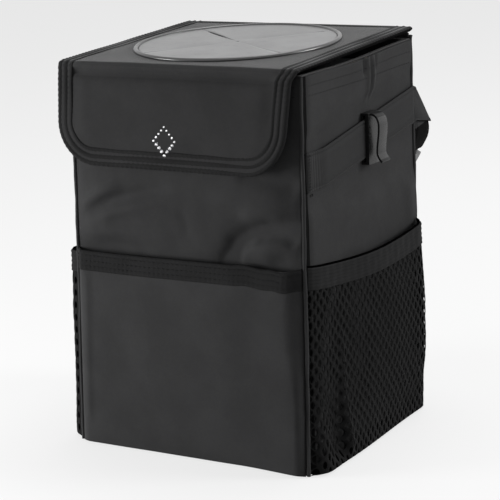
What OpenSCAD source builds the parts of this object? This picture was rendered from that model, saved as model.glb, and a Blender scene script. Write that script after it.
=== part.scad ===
// A soft-sided car trash bin: cloth panels over boards, a lid with a long front flap, a round
// push-through opening, outside pockets and a webbing strap with a side-release buckle.
// The origin is the middle of the base. X points to the right seen from the front, Y to the back.

/* [Body] */
// Width across the side panels
body_w = 198; // [180:1:225]
// Depth across the front and back panels at the base
body_d = 184; // [165:1:210]
// Height of the rim above the base
body_h = 287; // [255:1:330]
// How far the front and the back each lean in at the rim
body_lean = 6.3; // [3:0.1:9]
// Thickness of the outer cloth
cloth_t = 1; // [0.6:0.1:1.4]
// Thickness of the wall boards
board_t = 2.5; // [1.5:0.1:4]
// Thickness of the base board
base_board_t = 4; // [2:0.5:8]
// Thickness of the waterproof liner
liner_t = 0.6; // [0.4:0.1:1]
// Radius of the piping in the upright seams
welt_r = 1.4; // [1:0.1:2]
// Depth of the folded hem inside the rim
hem_h = 14; // [8:1:20]
// Thickness of the folded hem
hem_t = 0.6; // [0.4:0.1:1]

/* [Lid] */
// How far the lid reaches past each side panel
lid_side_reach = 1; // [0:0.1:3]
// Distance from the front panel at the rim to the fold between lid and flap
lid_front_reach = 6.8; // [6:0.1:9]
// Height of the fold at the lid's front above the rim
fold_rise = 4.5; // [4.4:0.1:8]
// Height of the hinge line above the rim
hinge_rise = 13.2; // [8:0.1:18]
// Thickness of the cloth on the lid and the flap
lid_cloth_t = 0.8; // [0.5:0.1:1]
// Thickness of the lid's board
lid_board_t = 2; // [1.5:0.1:2]
// Thickness of the lining under the lid and the flap
lining_t = 0.5; // [0.3:0.1:0.6]
// Width of the binding tape on the lid and the flap
tape_w = 11; // [8:0.5:15]
// Thickness of the binding tape
tape_t = 0.5; // [0.3:0.1:0.6]
// Height of the hinge tape's seam on the back panel
hinge_seam_h = 25; // [15:1:40]

/* [Round opening] */
// Outer radius of the ring on the lid
ring_r = 78; // [60:1:80]
// Width of the ring
ring_w = 6; // [4:0.5:9]
// Height of the ring above the lid
ring_h = 3.6; // [3:0.1:5]
// Radius of the hole through the lid
hole_r = 70; // [50:1:71]
// Width of the clamp ring under the lid, past the hole
clamp_w = 5; // [3:0.5:8]
// Thickness of the slit membrane
membrane_t = 1.2; // [0.8:0.1:1.6]
// Radius of the circle that the slits reach
slit_r = 66; // [40:1:66]
// Width of the slits where they gape
slit_gape = 1.6; // [0.8:0.1:2.5]
// Distance from the middle at which the slits start to gape
gape_from = 26; // [10:1:32]
// Width of the slits where they are closed
slit_w = 0.3; // [0.2:0.1:0.5]

/* [Flap] */
// Height of the flap from the fold to its lower edge
flap_h = 76; // [60:1:95]
// Radius of the flap's lower corners
flap_corner_r = 32; // [20:1:40]
// Thickness of the flap's board
flap_board_t = 1.8; // [1:0.1:2]
// Width of the hook-and-loop closure
closure_w = 100; // [60:5:140]
// Height of the hook-and-loop closure
closure_h = 20; // [12:1:25]
// Thickness of each half of the closure
closure_t = 0.9; // [0.6:0.1:1]
// Height of the closure's lower edge above the flap's lower edge
closure_rise = 16; // [13:1:24]
// Radius of each stud
stud_r = 1.2; // [0.8:0.1:1.6]
// Width of the lozenge of studs
lozenge_w = 18; // [12:1:24]
// Height of the lozenge of studs
lozenge_h = 21; // [12:1:26]
// Sideways place of the lozenge on the flap
lozenge_x = -10; // [-40:1:40]
// Height of the lozenge's middle above the flap's lower edge
lozenge_rise = 24; // [24:1:36]

/* [Front pocket] */
// Height of the front pocket
front_pocket_h = 151; // [100:1:180]
// How far the pocket's mouth stands off the front
front_pocket_belly = 6; // [5:0.5:12]
// Width of the binding along the pocket's mouth
pocket_binding_w = 15; // [10:1:20]
// Thickness of the binding along the pocket's mouth
pocket_binding_t = 0.6; // [0.4:0.1:1]

/* [Side pockets] */
// Height of the side pockets at the seams
side_pocket_h = 151; // [100:1:175]
// How far the mouth sags in the middle
side_pocket_sag = 6; // [0:0.5:12]
// How far the mesh stands off the side
side_pocket_belly = 9; // [7:0.5:14]
// Thickness of the mesh
mesh_t = 1; // [0.6:0.1:1.5]
// Width of the elastic hem
elastic_w = 16; // [10:1:20]
// Thickness that the hem adds on each face of the mesh
elastic_t = 0.7; // [0.4:0.1:1]
// Columns of openings in the mesh
mesh_columns = 11; // [6:1:11]
// Rows of openings in the mesh
mesh_rows = 10; // [6:1:10]
// Share of each mesh cell that is open
mesh_open = 0.72; // [0.4:0.01:0.8]

/* [Strap] */
// Width of the webbing
strap_w = 28; // [20:1:32]
// Thickness of the webbing
strap_t = 1.4; // [1:0.1:1.8]
// Height of the webbing's middle at the front seam
strap_z = 218.5; // [190:0.5:225]
// Length of webbing that is sewn flat at the front seam
strap_sewn = 18; // [12:1:25]
// Rise of the webbing towards the back, in degrees
strap_slope = 9; // [4:0.5:10]
// Length of the diagonal fold's foot behind the back corner
fold_run = 34; // [32:1:40]
// Drop of that foot below the webbing's lower edge at the corner
fold_drop = 5; // [3:1:9]
// Distance of the hanging buckle's middle behind the back panel
buckle_y = 23; // [22:1:28]
// Drop of the socket's strap bar below the webbing at the back corner
socket_drop = 38; // [36:1:46]
// Distance of that bar in from the webbing at the side
socket_in = 15; // [10:1:20]
// Steepness of the buckle as it hangs, in degrees
buckle_dip = 60; // [52:1:64]
// Turn of the buckle about the upright, in degrees
buckle_turn = 6; // [0:1:8]
// Distance of the loop's low middle behind the back panel
loop_y = 25; // [24:1:32]
// Drop of the loop's low middle below the webbing at the back corner
loop_drop = 104; // [98:1:116]

/* [Buckle] */
// Length of the buckle's socket
socket_l = 30; // [26:1:36]
// Width that the buckle has past each edge of the webbing
buckle_margin = 4; // [3:0.5:5]
// Thickness of the buckle's socket
socket_t = 10; // [9:0.5:13]
// Thickness of the socket's walls
socket_wall = 1.8; // [1.4:0.1:2.2]
// Length of the plug outside the socket
plug_l = 18; // [15:1:24]
// Thickness of the plug's frame
plug_t = 6; // [5:0.5:7]
// Width of a slot for the webbing
slot_w = 3.6; // [3.4:0.1:4.5]
// Thickness of the bars that the webbing goes round
bar_t = 3; // [2.4:0.1:4]

/* [Hook clips] */
// Length of a clip along the webbing
clip_l = 18; // [12:1:24]
// Thickness of the clip's plate
clip_plate_t = 2.6; // [1.8:0.1:3]
// Thickness of the lips behind the webbing
clip_lip_t = 1.6; // [1:0.1:2]
// Height of the lips behind the webbing
clip_lip_h = 7; // [5:0.5:9]
// Clearance between the clip and the webbing
clip_gap = 0.3; // [0.3:0.05:0.5]
// How far the clip hangs down on the webbing
clip_slack = 3; // [0:0.5:5]
// How far the clip's tongue bows out from the plate
tongue_bow = 7; // [6.5:0.5:11]
// Gap between the tongue and the plate at the neck
tongue_neck = 4.6; // [4.4:0.1:6]
// Thickness of the tongue
tongue_t = 1.5; // [1.2:0.1:2]
// Width of the tongue
tongue_w = 13; // [8:0.5:16]
// Place of the clips along the sides, towards the back
clip_y = 10; // [-10:1:30]

/* [Tag] */
// Height of the side tag's lower edge
tag_z = 45; // [20:1:90]
// Height of the side tag
tag_h = 24; // [12:1:30]
// How far the side tag stands out of the seam
tag_out = 8; // [5:0.5:12]
// Thickness of the side tag
tag_t = 1; // [0.6:0.1:1.4]

/* [Hidden] */

$fn = 64;
// Clearance between pieces that move on each other
run_gap = 0.3;
// Length by which a cutting shape runs past the face it cuts
past = 1;

// Body
side_x = body_w / 2;
wall_t = cloth_t + board_t;
wall_top = body_h - hem_t;
inner_t = wall_t + liner_t;
floor_z = cloth_t + base_board_t + liner_t;
welt_out = 0.2;

// Half of the body's depth at a height
function half_d(z) = body_d / 2 - body_lean * z / body_h;

// Lid and flap
hinge_y = half_d(body_h) + 1.6;
hinge_z = body_h + hinge_rise;
fold_y = -half_d(body_h) - lid_front_reach;
fold_z = body_h + fold_rise;
lid_tilt = atan2(hinge_z - fold_z, hinge_y - fold_y);
lid_l = norm([hinge_z - fold_z, hinge_y - fold_y]);
lid_w = body_w + 2 * lid_side_reach;
lid_t = lid_cloth_t + lid_board_t + lining_t;
flap_t = lid_cloth_t + flap_board_t + lining_t;
lid_back_gap = 1;
fold_gap = flap_t + tape_t + run_gap;
lid_mid = -(lid_l + lid_back_gap) / 2;
hinge_tape_t = 0.6;
hinge_tape_top = 1.3;
hinge_tape_w = lid_w - 2 * (tape_w + past);

// Round opening
neck_w = 2;
clamp_t = 1.6;
ring_lip_t = 1.2;
slit_turn = [48, 143, 232, 326];
slit_start = 3;

// Strap
lip_room = clip_lip_t + 2 * clip_gap;
strap_x = side_x + lip_room + strap_t / 2;
strap_sewn_x = side_x + strap_t / 2;
strap_front_y = -half_d(strap_z) + welt_r + 3;
strap_bend_y = strap_front_y + strap_sewn;
strap_corner_y = half_d(strap_z) - 2;
strap_corner_z = strap_z + (strap_corner_y - strap_bend_y) * tan(strap_slope);
strap_back_y = half_d(strap_z);
socket_at = [strap_x - socket_in, strap_back_y + buckle_y, strap_corner_z - socket_drop];
buckle_width_dir = [-sin(buckle_turn), cos(buckle_turn), 0];
buckle_dir = [
    -cos(buckle_dip) * cos(buckle_turn), -cos(buckle_dip) * sin(buckle_turn), -sin(buckle_dip)
];
buckle_l = socket_l + plug_l;
plug_at = socket_at + buckle_l * buckle_dir;
buckle_w = strap_w + 2 * buckle_margin;
slot_l = strap_w + 1.6;
prong_w = 4;
prong_l = socket_l - 12;
web_loop_r = bar_t * 0.75 + run_gap + strap_t / 2;
web_tail = 12;

// Hook clips
clip_slot_h = strap_w / cos(strap_slope) + clip_l * tan(strap_slope) + 2 * clip_gap + clip_slack;
clip_h = clip_slot_h + 2 * clip_lip_t;
clip_z = strap_z + (clip_y - strap_bend_y) * tan(strap_slope) - clip_slack / 2;
plate_in = strap_t / 2 + clip_gap;
plate_out = plate_in + clip_plate_t;

// A box that leans as the front and the back do, inset by a wall thickness
module leaning_box(inset, z0, z1) {
    rotate([90, 0, 90])
        linear_extrude(body_w - 2 * inset, center = true)
            polygon([
                [inset - half_d(z0), z0], [half_d(z0) - inset, z0],
                [half_d(z1) - inset, z1], [inset - half_d(z1), z1]
            ]);
}

// A leaning slab in the front wall (side -1) or the back wall (side 1)
module leaning_slab(side, inset, t, z0, z1, w) {
    near0 = half_d(z0) - inset;
    near1 = half_d(z1) - inset;
    rotate([90, 0, 90])
        linear_extrude(w, center = true)
            polygon([
                [side * near0, z0], [side * (near0 - t), z0],
                [side * (near1 - t), z1], [side * near1, z1]
            ]);
}

// An upright slab in the left wall (side -1) or the right wall (side 1)
module side_slab(side, inset, t, z0, z1, end_inset) {
    translate([side * (side_x - inset - t / 2), 0, 0])
        rotate([90, 0, 90])
            linear_extrude(t, center = true)
                polygon([
                    [end_inset - half_d(z0), z0], [half_d(z0) - end_inset, z0],
                    [half_d(z1) - end_inset, z1], [end_inset - half_d(z1), z1]
                ]);
}

// A straight round rod from point a to point b
module rod(a, b, r) {
    v = b - a;
    translate(a)
        rotate([0, acos(v.z / norm(v)), atan2(v.y, v.x)])
            cylinder(r = r, h = norm(v));
}

module welt(side, end) {
    rod([side * (side_x + welt_out), end * (half_d(cloth_t) + welt_out), cloth_t],
        [side * (side_x + welt_out), end * (half_d(wall_top) + welt_out), wall_top], welt_r);
}

module all_welts() {
    for (side = [-1, 1])
        for (end = [-1, 1])
            welt(side, end);
}

module front_panel() {
    color("#2e2e30")
        difference() {
            leaning_slab(-1, 0, cloth_t, cloth_t, wall_top, body_w);
            all_welts();
        }
}

module back_panel() {
    color("#2e2e30")
        difference() {
            leaning_slab(1, 0, cloth_t, cloth_t, wall_top, body_w);
            all_welts();
        }
}

module side_panel(side) {
    color("#333335")
        difference() {
            side_slab(side, 0, cloth_t, cloth_t, wall_top, cloth_t);
            all_welts();
        }
}

module base_panel() {
    color("#262628") leaning_box(0, 0, cloth_t);
}

module end_board(end) {
    color("#8a8578")
        leaning_slab(end, cloth_t, board_t, cloth_t, wall_top, body_w - 2 * cloth_t);
}

module side_board(side) {
    color("#8a8578") side_slab(side, cloth_t, board_t, cloth_t, wall_top, wall_t);
}

module base_board() {
    color("#8a8578") leaning_box(wall_t, cloth_t, cloth_t + base_board_t);
}

module liner() {
    color("#55585c")
        difference() {
            leaning_box(wall_t, cloth_t + base_board_t, wall_top);
            leaning_box(inner_t, floor_z, body_h);
        }
}

module rim_hem() {
    color("#242426")
        difference() {
            leaning_box(0, body_h - hem_h, body_h);
            leaning_box(inner_t + hem_t, body_h - hem_h - past, body_h + past);
            difference() {
                leaning_box(-past, body_h - hem_h - past, wall_top);
                leaning_box(inner_t, body_h - hem_h - 2 * past, body_h);
            }
        }
}

// The strip that carries the lid: sewn to the back panel, and up to the hinge line
module hinge_tape() {
    seam_z = body_h - hinge_seam_h;
    top_z = hinge_z - hinge_tape_top;
    color("#2a2a2c")
        rotate([90, 0, 90])
            linear_extrude(hinge_tape_w, center = true)
                polygon([
                    [half_d(seam_z), seam_z], [half_d(body_h), body_h], [hinge_y, top_z],
                    [hinge_y + hinge_tape_t, top_z], [half_d(body_h) + hinge_tape_t, body_h],
                    [half_d(seam_z) + hinge_tape_t, seam_z]
                ]);
}

// Faces of a sheet whose outer and inner points are two grids of nu by nv points
function grid_faces(nu, nv) = let (n = nu * nv) concat(
    [for (i = [0:nu - 2], j = [0:nv - 2])
        let (a = i * nv + j, b = a + nv) each [[a, a + 1, b], [a + 1, b + 1, b]]],
    [for (i = [0:nu - 2], j = [0:nv - 2])
        let (a = n + i * nv + j, b = a + nv) each [[a, b, a + 1], [a + 1, b, b + 1]]],
    [for (i = [0:nu - 2]) let (a = i * nv, b = a + nv) each [[a, b, n + a], [b, n + b, n + a]]],
    [for (i = [0:nu - 2])
        let (a = i * nv + nv - 1, b = a + nv) each [[a, n + a, b], [b, n + a, n + b]]],
    [for (j = [0:nv - 2]) let (a = j, b = j + 1) each [[a, n + a, b], [b, n + a, n + b]]],
    [for (j = [0:nv - 2])
        let (a = (nu - 1) * nv + j, b = a + 1) each [[a, b, n + a], [b, n + b, n + a]]]
);

module sheet(outer, inner) {
    nu = len(outer);
    nv = len(outer[0]);
    polyhedron(
        points = concat([for (row = outer) each row], [for (row = inner) each row]),
        faces = grid_faces(nu, nv), convexity = 4
    );
}

// Steps from 0 to 1
function steps(n) = [for (i = [0:n]) i / n];

// Front pocket: flush at the seams and the base, and bowed out at the mouth
pocket_x = side_x - welt_r - 0.2;
pocket_low_z = cloth_t;

function pocket_bow(s, z) =
    front_pocket_belly * (1 - pow(abs(2 * s - 1), 4)) * sin(90 * min(1, z / front_pocket_h));
function pocket_point(s, z, out) =
    [(2 * s - 1) * pocket_x, -half_d(z) - pocket_bow(s, z) - out, z];

module pocket_layer(z0, z1, out0, out1, rows) {
    sheet(
        [for (s = steps(16)) [for (v = steps(rows)) pocket_point(s, z0 + v * (z1 - z0), out1)]],
        [for (s = steps(16)) [for (v = steps(rows)) pocket_point(s, z0 + v * (z1 - z0), out0)]]
    );
}

module front_pocket() {
    color("#323234")
        pocket_layer(pocket_low_z, front_pocket_h, 0, cloth_t, 8);
}

module front_pocket_binding() {
    top_z = front_pocket_h + pocket_binding_t;
    color("#202022")
        difference() {
            pocket_layer(top_z - pocket_binding_w, top_z, 0, cloth_t + pocket_binding_t, 2);
            pocket_layer(pocket_low_z, front_pocket_h, 0, cloth_t, 8);
        }
}

// Side pocket: a mesh wall that stands off the side, with a sagging elastic mouth
mesh_end_gap = welt_r + 0.6;
mesh_ramp = 22;

function mesh_top(s) = side_pocket_h - side_pocket_sag * (1 - pow(2 * s - 1, 2));
function mesh_bow(s, z) =
    side_pocket_belly * (1 - pow(abs(2 * s - 1), 6)) * sin(90 * min(1, (z - cloth_t) / mesh_ramp));
function mesh_point(s, z, out) =
    [side_x + mesh_bow(s, z) + out, (2 * s - 1) * (half_d(z) - mesh_end_gap), z];
// Rows lie closer together at the base, where the mesh turns in to its seam
function mesh_height(s, v) = cloth_t + (mesh_top(s) - cloth_t) * pow(v, 1.6);

module mesh_wall() {
    sheet(
        [for (s = steps(14)) [for (v = steps(8)) mesh_point(s, mesh_height(s, v), mesh_t)]],
        [for (s = steps(14)) [for (v = steps(8)) mesh_point(s, mesh_height(s, v), 0)]]
    );
}

module mesh_openings() {
    low = mesh_ramp / 2;
    high = side_pocket_h - side_pocket_sag - elastic_w - 2;
    pitch_y = (2 * half_d(high) - 12) / mesh_columns;
    pitch_z = (high - low) / mesh_rows;
    for (c = [0:mesh_columns - 1])
        for (r = [0:mesh_rows - 1]) {
            shift = (r % 2 == 0 ? -0.25 : 0.25);
            translate([side_x, (c - (mesh_columns - 1) / 2 + shift) * pitch_y, low + (r + 0.5) * pitch_z])
                rotate([90, 0, 90])
                    linear_extrude(2 * side_pocket_belly + 2 * mesh_t, center = true)
                        polygon([
                            [-mesh_open * pitch_y / 2, 0], [0, -mesh_open * pitch_z * 0.62],
                            [mesh_open * pitch_y / 2, 0], [0, mesh_open * pitch_z * 0.62]
                        ]);
        }
}

module right_mesh_pocket() {
    color("#1b1b1d")
        difference() {
            mesh_wall();
            mesh_openings();
        }
}

module right_pocket_hem() {
    color("#242426")
        difference() {
            sheet(
                [for (s = steps(14)) [for (v = [-1, 0])
                    mesh_point(s, mesh_top(s) + elastic_t + v * elastic_w, mesh_t + elastic_t)]],
                [for (s = steps(14)) [for (v = [-1, 0])
                    mesh_point(s, mesh_top(s) + elastic_t + v * elastic_w,
                        -min(elastic_t, mesh_bow(s, side_pocket_h)))]]
            );
            mesh_wall();
        }
}

module front_loop_patch() {
    low = fold_z - flap_h + closure_rise;
    color("#1a1a1b")
        leaning_slab(-1, -closure_t, closure_t, low, low + closure_h, closure_w);
}

// Places what is drawn with the lid closed and level, its hinge line on the X axis
module on_lid() {
    translate([0, hinge_y, hinge_z])
        rotate([lid_tilt, 0, 0])
            children();
}

// Places what is drawn with the fold line on the X axis, the flap hanging down and +Y inwards
module on_flap() {
    translate([0, fold_y, fold_z])
        children();
}

// A layer of the lid between two depths below its top face
module lid_layer(top, bottom) {
    difference() {
        translate([-lid_w / 2, -lid_l + fold_gap, -bottom])
            cube([lid_w, lid_l - fold_gap - lid_back_gap, bottom - top]);
        translate([0, lid_mid, -bottom - past])
            cylinder(r = hole_r, h = bottom - top + 2 * past, $fn = 128);
    }
}

module lid_cloth() {
    color("#4a4a4c") on_lid() lid_layer(0, lid_cloth_t);
}

module lid_board() {
    color("#8a8578") on_lid() lid_layer(lid_cloth_t, lid_cloth_t + lid_board_t);
}

module lid_lining() {
    color("#55585c") on_lid() lid_layer(lid_cloth_t + lid_board_t, lid_t);
}

// The tape folded round one side edge of the lid
module lid_binding(side) {
    color("#1e1e20")
        on_lid()
            translate([side * (lid_w / 2 + tape_t - tape_w / 2), 0, 0])
                difference() {
                    translate([-tape_w / 2, -lid_l + fold_gap, -lid_t - tape_t])
                        cube([tape_w, lid_l - fold_gap - lid_back_gap, lid_t + 2 * tape_t]);
                    translate([-tape_w / 2 - side * tape_t, -lid_l, -lid_t])
                        cube([tape_w, lid_l, lid_t]);
                }
}

// Ring with a rolled edge on the lid, a lip over the membrane and a neck through the lid's hole
module opening_ring() {
    bead = ring_h / 2;
    color("#161617")
        on_lid() translate([0, lid_mid, 0])
            rotate_extrude($fn = 128)
                union() {
                    translate([ring_r - bead, bead]) circle(r = bead, $fn = 32);
                    translate([ring_r - ring_w, 0]) square([ring_w - bead, ring_lip_t]);
                    translate([hole_r - neck_w, 0]) square([ring_r - ring_w - hole_r + neck_w, ring_lip_t]);
                    translate([hole_r - neck_w, -lid_t]) square([neck_w, lid_t + ring_lip_t]);
                }
}

// One slit along the X axis: closed near the middle, gaping further out
module slit_shape() {
    gape_l = slit_r - gape_from;
    translate([slit_start, -slit_w / 2]) square([slit_r - slit_start, slit_w]);
    intersection() {
        translate([slit_r - gape_l / 2, slit_gape / 2 - gape_l]) circle(r = gape_l, $fn = 96);
        translate([slit_r - gape_l / 2, gape_l - slit_gape / 2]) circle(r = gape_l, $fn = 96);
    }
}

module slit_membrane() {
    color("#1c1c1e")
        on_lid() translate([0, lid_mid, ring_lip_t])
            linear_extrude(membrane_t)
                difference() {
                    circle(r = ring_r - ring_h, $fn = 128);
                    for (turn = slit_turn)
                        rotate(turn) slit_shape();
                }
}

// Flat ring under the lid that the neck is pressed into
module clamp_ring() {
    color("#161617")
        on_lid() translate([0, lid_mid, -lid_t - clamp_t])
            difference() {
                cylinder(r = hole_r + clamp_w, h = clamp_t, $fn = 128);
                translate([0, 0, -past])
                    cylinder(r = hole_r - neck_w, h = clamp_t + 2 * past, $fn = 128);
            }
}

// Outline of the flap, grown by a margin: fold line on the X axis, rounded lower corners
module flap_outline(grow) {
    w = lid_w + 2 * grow;
    r = flap_corner_r + grow;
    bottom = -flap_h - grow;
    translate([-w / 2, bottom + r]) square([w, -bottom - r - run_gap]);
    translate([-w / 2 + r, bottom]) square([w - 2 * r, r + past]);
    for (side = [-1, 1])
        translate([side * (w / 2 - r), bottom + r]) circle(r = r, $fn = 96);
}

// A layer of the flap between two depths behind its outer face
module flap_layer(near, far, grow = 0) {
    translate([0, far, 0])
        rotate([90, 0, 0])
            linear_extrude(far - near)
                flap_outline(grow);
}

module flap_cloth() {
    color("#333335") on_flap() flap_layer(0, lid_cloth_t);
}

module flap_board() {
    color("#8a8578") on_flap() flap_layer(lid_cloth_t, lid_cloth_t + flap_board_t);
}

module flap_lining() {
    color("#55585c") on_flap() flap_layer(lid_cloth_t + flap_board_t, flap_t);
}

// The tape folded round the flap's sides and lower edge
module flap_binding() {
    color("#1e1e20")
        on_flap()
            difference() {
                flap_layer(-tape_t, flap_t + tape_t, tape_t);
                flap_layer(0, flap_t);
                flap_layer(-past, flap_t + past, tape_t - tape_w);
            }
}

module flap_hook_patch() {
    color("#1a1a1b")
        on_flap()
            translate([-closure_w / 2, flap_t, -flap_h + closure_rise])
                cube([closure_w, closure_t, closure_h]);
}

// A plain lozenge of round studs
module flap_studs() {
    per_side = 4;
    corners = [[0, 0.5], [0.5, 0], [0, -0.5], [-0.5, 0]];
    color("#c8c8c8")
        on_flap()
            translate([lozenge_x, 0, -flap_h + lozenge_rise])
                for (k = [0:3], i = [0:per_side - 1]) {
                    at = corners[k] + (corners[(k + 1) % 4] - corners[k]) * i / per_side;
                    translate([at.x * lozenge_w, 0, at.y * lozenge_h])
                        intersection() {
                            translate([0, stud_r * 0.3, 0]) sphere(r = stud_r, $fn = 32);
                            translate([-stud_r, -stud_r, -stud_r]) cube([2 * stud_r, stud_r, 2 * stud_r]);
                        }
                }
}

// Webbing: rings of four points, from its two edges and the direction of its face
function unit(v) = v / norm(v);
function mirrored(v) = [-v.x, v.y, v.z];
function ring(edge_a, edge_b, face) = [
    edge_a + face * strap_t / 2, edge_b + face * strap_t / 2,
    edge_b - face * strap_t / 2, edge_a - face * strap_t / 2
];

// Rings along a route of middle points, each with the direction of the webbing's width there
function rings_along(points, widths) = let (n = len(points)) [
    for (i = [0:n - 1])
        let (
            along = unit(points[min(i + 1, n - 1)] - points[max(i - 1, 0)]),
            face = unit(cross(along, widths[i])),
            half = cross(face, along) * strap_w / 2
        )
        ring(points[i] + half, points[i] - half, face)
];

module webbing(rings) {
    n = len(rings);
    polyhedron(
        points = [for (r = rings) each r],
        faces = concat(
            [for (i = [0:n - 2], k = [0:3])
                let (a = 4 * i + k, b = 4 * i + (k + 1) % 4) each [[a, b, a + 4], [b, b + 4, a + 4]]],
            [[0, 2, 1], [0, 3, 2]],
            [[4 * n - 4, 4 * n - 3, 4 * n - 2], [4 * n - 4, 4 * n - 2, 4 * n - 1]]
        ),
        convexity = 6
    );
}

// Point at t on a curve with four control points
function curve(p, t) =
    pow(1 - t, 3) * p[0] + 3 * pow(1 - t, 2) * t * p[1] + 3 * (1 - t) * pow(t, 2) * p[2]
    + pow(t, 3) * p[3];

// The stretch along a side: sewn flat at the front seam, then standing off up to the back corner
side_width = [0, -sin(strap_slope), cos(strap_slope)];
strap_corner = [strap_x, strap_corner_y, strap_corner_z];
side_rings = rings_along(
    [
        [strap_sewn_x, strap_front_y, strap_z], [strap_sewn_x, strap_bend_y - 8, strap_z],
        [strap_x, strap_bend_y, strap_z], strap_corner
    ],
    [[0, 0, 1], [0, 0, 1], side_width, side_width]
);

// The diagonal fold behind the corner, which turns the webbing down, with its lower half inside
fold_r = 1.3;
fold_top = strap_corner + side_width * strap_w / 2 + [0, 2, 0];
fold_foot = strap_corner + [0, fold_run, -strap_w / 2 - fold_drop];
fold_out = unit([0, fold_top.z - fold_foot.z, fold_foot.y - fold_top.y]);
// The inner layer starts lower, clear of the seam's piping
fold_clear = unit(fold_foot - fold_top) * (4 * welt_r + run_gap);
fold_rings = [
    for (turn = [0:45:180])
        let (
            face = [cos(turn), 0, 0] + fold_out * sin(turn),
            shift = fold_r * (face - [1, 0, 0])
        )
        ring(fold_top + fold_clear * min(1, turn / 90) + shift, fold_foot + shift, face)
];

// The hanging stretch starts below the fold, its width along Y
hang_start = [
    strap_x - 2 * fold_r, fold_foot.y - strap_w / 2, strap_corner_z - strap_w / 2 - fold_drop
];
hang_width = [0, -1, 0];

// Points round a bar, from the side where the webbing comes in to the end of its sewn tail
function bar_turn(bar, into, side) = concat(
    [for (turn = [0:30:180]) bar + web_loop_r * (side * cos(turn) + into * sin(turn))],
    [bar - side * web_loop_r - into * web_tail]
);

function hanging_rings(points, last_width) = let (n = len(points)) rings_along(
    points, [for (i = [0:n - 1]) unit(hang_width + (last_width - hang_width) * min(1, 1.6 * i / n))]
);

buckle_face = cross(buckle_dir, buckle_width_dir);

// The right stretch comes down to the socket's bar
right_in = socket_at + buckle_face * web_loop_r;
right_curve = [
    hang_start, hang_start - [0, 0, 6], right_in - 8 * buckle_dir, right_in
];
right_points = concat(
    [for (t = [0:4]) curve(right_curve, t / 5)], bar_turn(socket_at, buckle_dir, buckle_face)
);

module right_strap() {
    color("#2b2b2d")
        webbing(concat(side_rings, fold_rings, hanging_rings(right_points, -buckle_width_dir)));
}

// The left stretch, drawn mirrored: it hangs in a slack loop and comes up to the plug's bar
plug_lead = 22;
left_bar = mirrored(plug_at);
left_into = -mirrored(buckle_dir);
left_side = mirrored(buckle_face);
left_in = left_bar + left_side * web_loop_r;
left_low = [14, strap_back_y + loop_y, strap_corner_z - loop_drop];
left_curves = [
    [hang_start, hang_start - [0, 0, 40], left_low + [46, 0, 2], left_low],
    [left_low, left_low - [36, 0, 2], left_in - plug_lead * left_into, left_in]
];
left_points = concat(
    [for (t = [0:8]) curve(left_curves[0], t / 9)],
    [for (t = [0:6]) curve(left_curves[1], t / 7)],
    bar_turn(left_bar, left_into, left_side)
);

module left_strap() {
    color("#2b2b2d")
        mirror([1, 0, 0])
            webbing(concat(
                side_rings, fold_rings, hanging_rings(left_points, -mirrored(buckle_width_dir))
            ));
}

// Places what is drawn along +X from the socket's strap bar, width along Y
module on_buckle() {
    translate(socket_at)
        rotate([0, 180 - buckle_dip, buckle_turn])
            children();
}

// A flat block with rounded corners, from x0 to x1
module pad(x0, x1, w, t, r) {
    translate([0, 0, -t / 2])
        linear_extrude(t) {
            translate([x0, -w / 2 + r]) square([x1 - x0, w - 2 * r]);
            translate([x0 + r, -w / 2]) square([x1 - x0 - 2 * r, w]);
            for (x = [x0 + r, x1 - r])
                for (side = [-1, 1])
                    translate([x, side * (w / 2 - r)]) circle(r = r, $fn = 32);
        }
}

module slot(x) {
    translate([x, -slot_l / 2, -socket_t])
        cube([slot_w, slot_l, 2 * socket_t]);
}

module buckle_socket() {
    cavity_t = socket_t - 2 * socket_wall;
    cavity_w = buckle_w - 2 * socket_wall;
    cavity_x = bar_t / 2 + slot_w + 2;
    window_l = 7;
    color("#18181a")
        on_buckle()
            difference() {
                union() {
                    pad(bar_t / 2 + slot_w, socket_l, buckle_w, socket_t, 4);
                    pad(-bar_t / 2, bar_t / 2 + slot_w + 6, buckle_w, bar_t, bar_t / 2);
                }
                slot(bar_t / 2);
                translate([cavity_x, -cavity_w / 2, -cavity_t / 2])
                    cube([socket_l, cavity_w, cavity_t]);
                for (side = [-1, 1])
                    translate([cavity_x + 2, side * buckle_w / 2 - socket_wall - past, -cavity_t / 2])
                        cube([window_l, 2 * (socket_wall + past), cavity_t]);
            }
}

// The plug's frame has the webbing's end bar at plug_l; its prongs and guide lie in the socket
module buckle_plug() {
    prong_y = buckle_w / 2 - socket_wall - run_gap - prong_w;
    prong_t = socket_t - 2 * socket_wall - 2 * run_gap;
    frame_x = socket_l + run_gap;
    guide_w = 3;
    slot_x = buckle_l - bar_t / 2 - slot_w;
    color("#18181a")
        on_buckle() {
            difference() {
                union() {
                    pad(frame_x, slot_x, buckle_w, plug_t, 2.5);
                    pad(slot_x - 6, buckle_l + bar_t / 2, buckle_w, bar_t, bar_t / 2);
                }
                slot(slot_x);
            }
            for (side = [-1, 1])
                translate([frame_x - prong_l, side > 0 ? prong_y : -prong_y - prong_w, -prong_t / 2])
                    cube([prong_l + past, prong_w, prong_t]);
            translate([frame_x - prong_l, -guide_w / 2, -prong_t / 2])
                cube([prong_l + past, guide_w, prong_t]);
        }
}

// Hook clip, drawn with the webbing through it on the YZ plane and +X outwards
function tongue_route() = let (
    top = [plate_out - tongue_t / 2, clip_h / 2 - tongue_t / 2],
    bow = [plate_out + tongue_bow, clip_h / 2 - 10],
    neck = [plate_out + tongue_neck + tongue_t / 2, -clip_h / 2 + 9],
    tip = [plate_out + tongue_neck + 4.5, -clip_h / 2 + 2]
) concat(
    [for (t = [0:7]) curve([top, top + [6, 0], bow + [0, 5], bow], t / 8)],
    [for (t = [0:7]) curve([bow, bow - [0, 8], neck + [0, 7], neck], t / 8)],
    [for (t = [0:4]) curve([neck, neck - [0, 2.5], tip + [-2, 2], tip], t / 4)]
);

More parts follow.
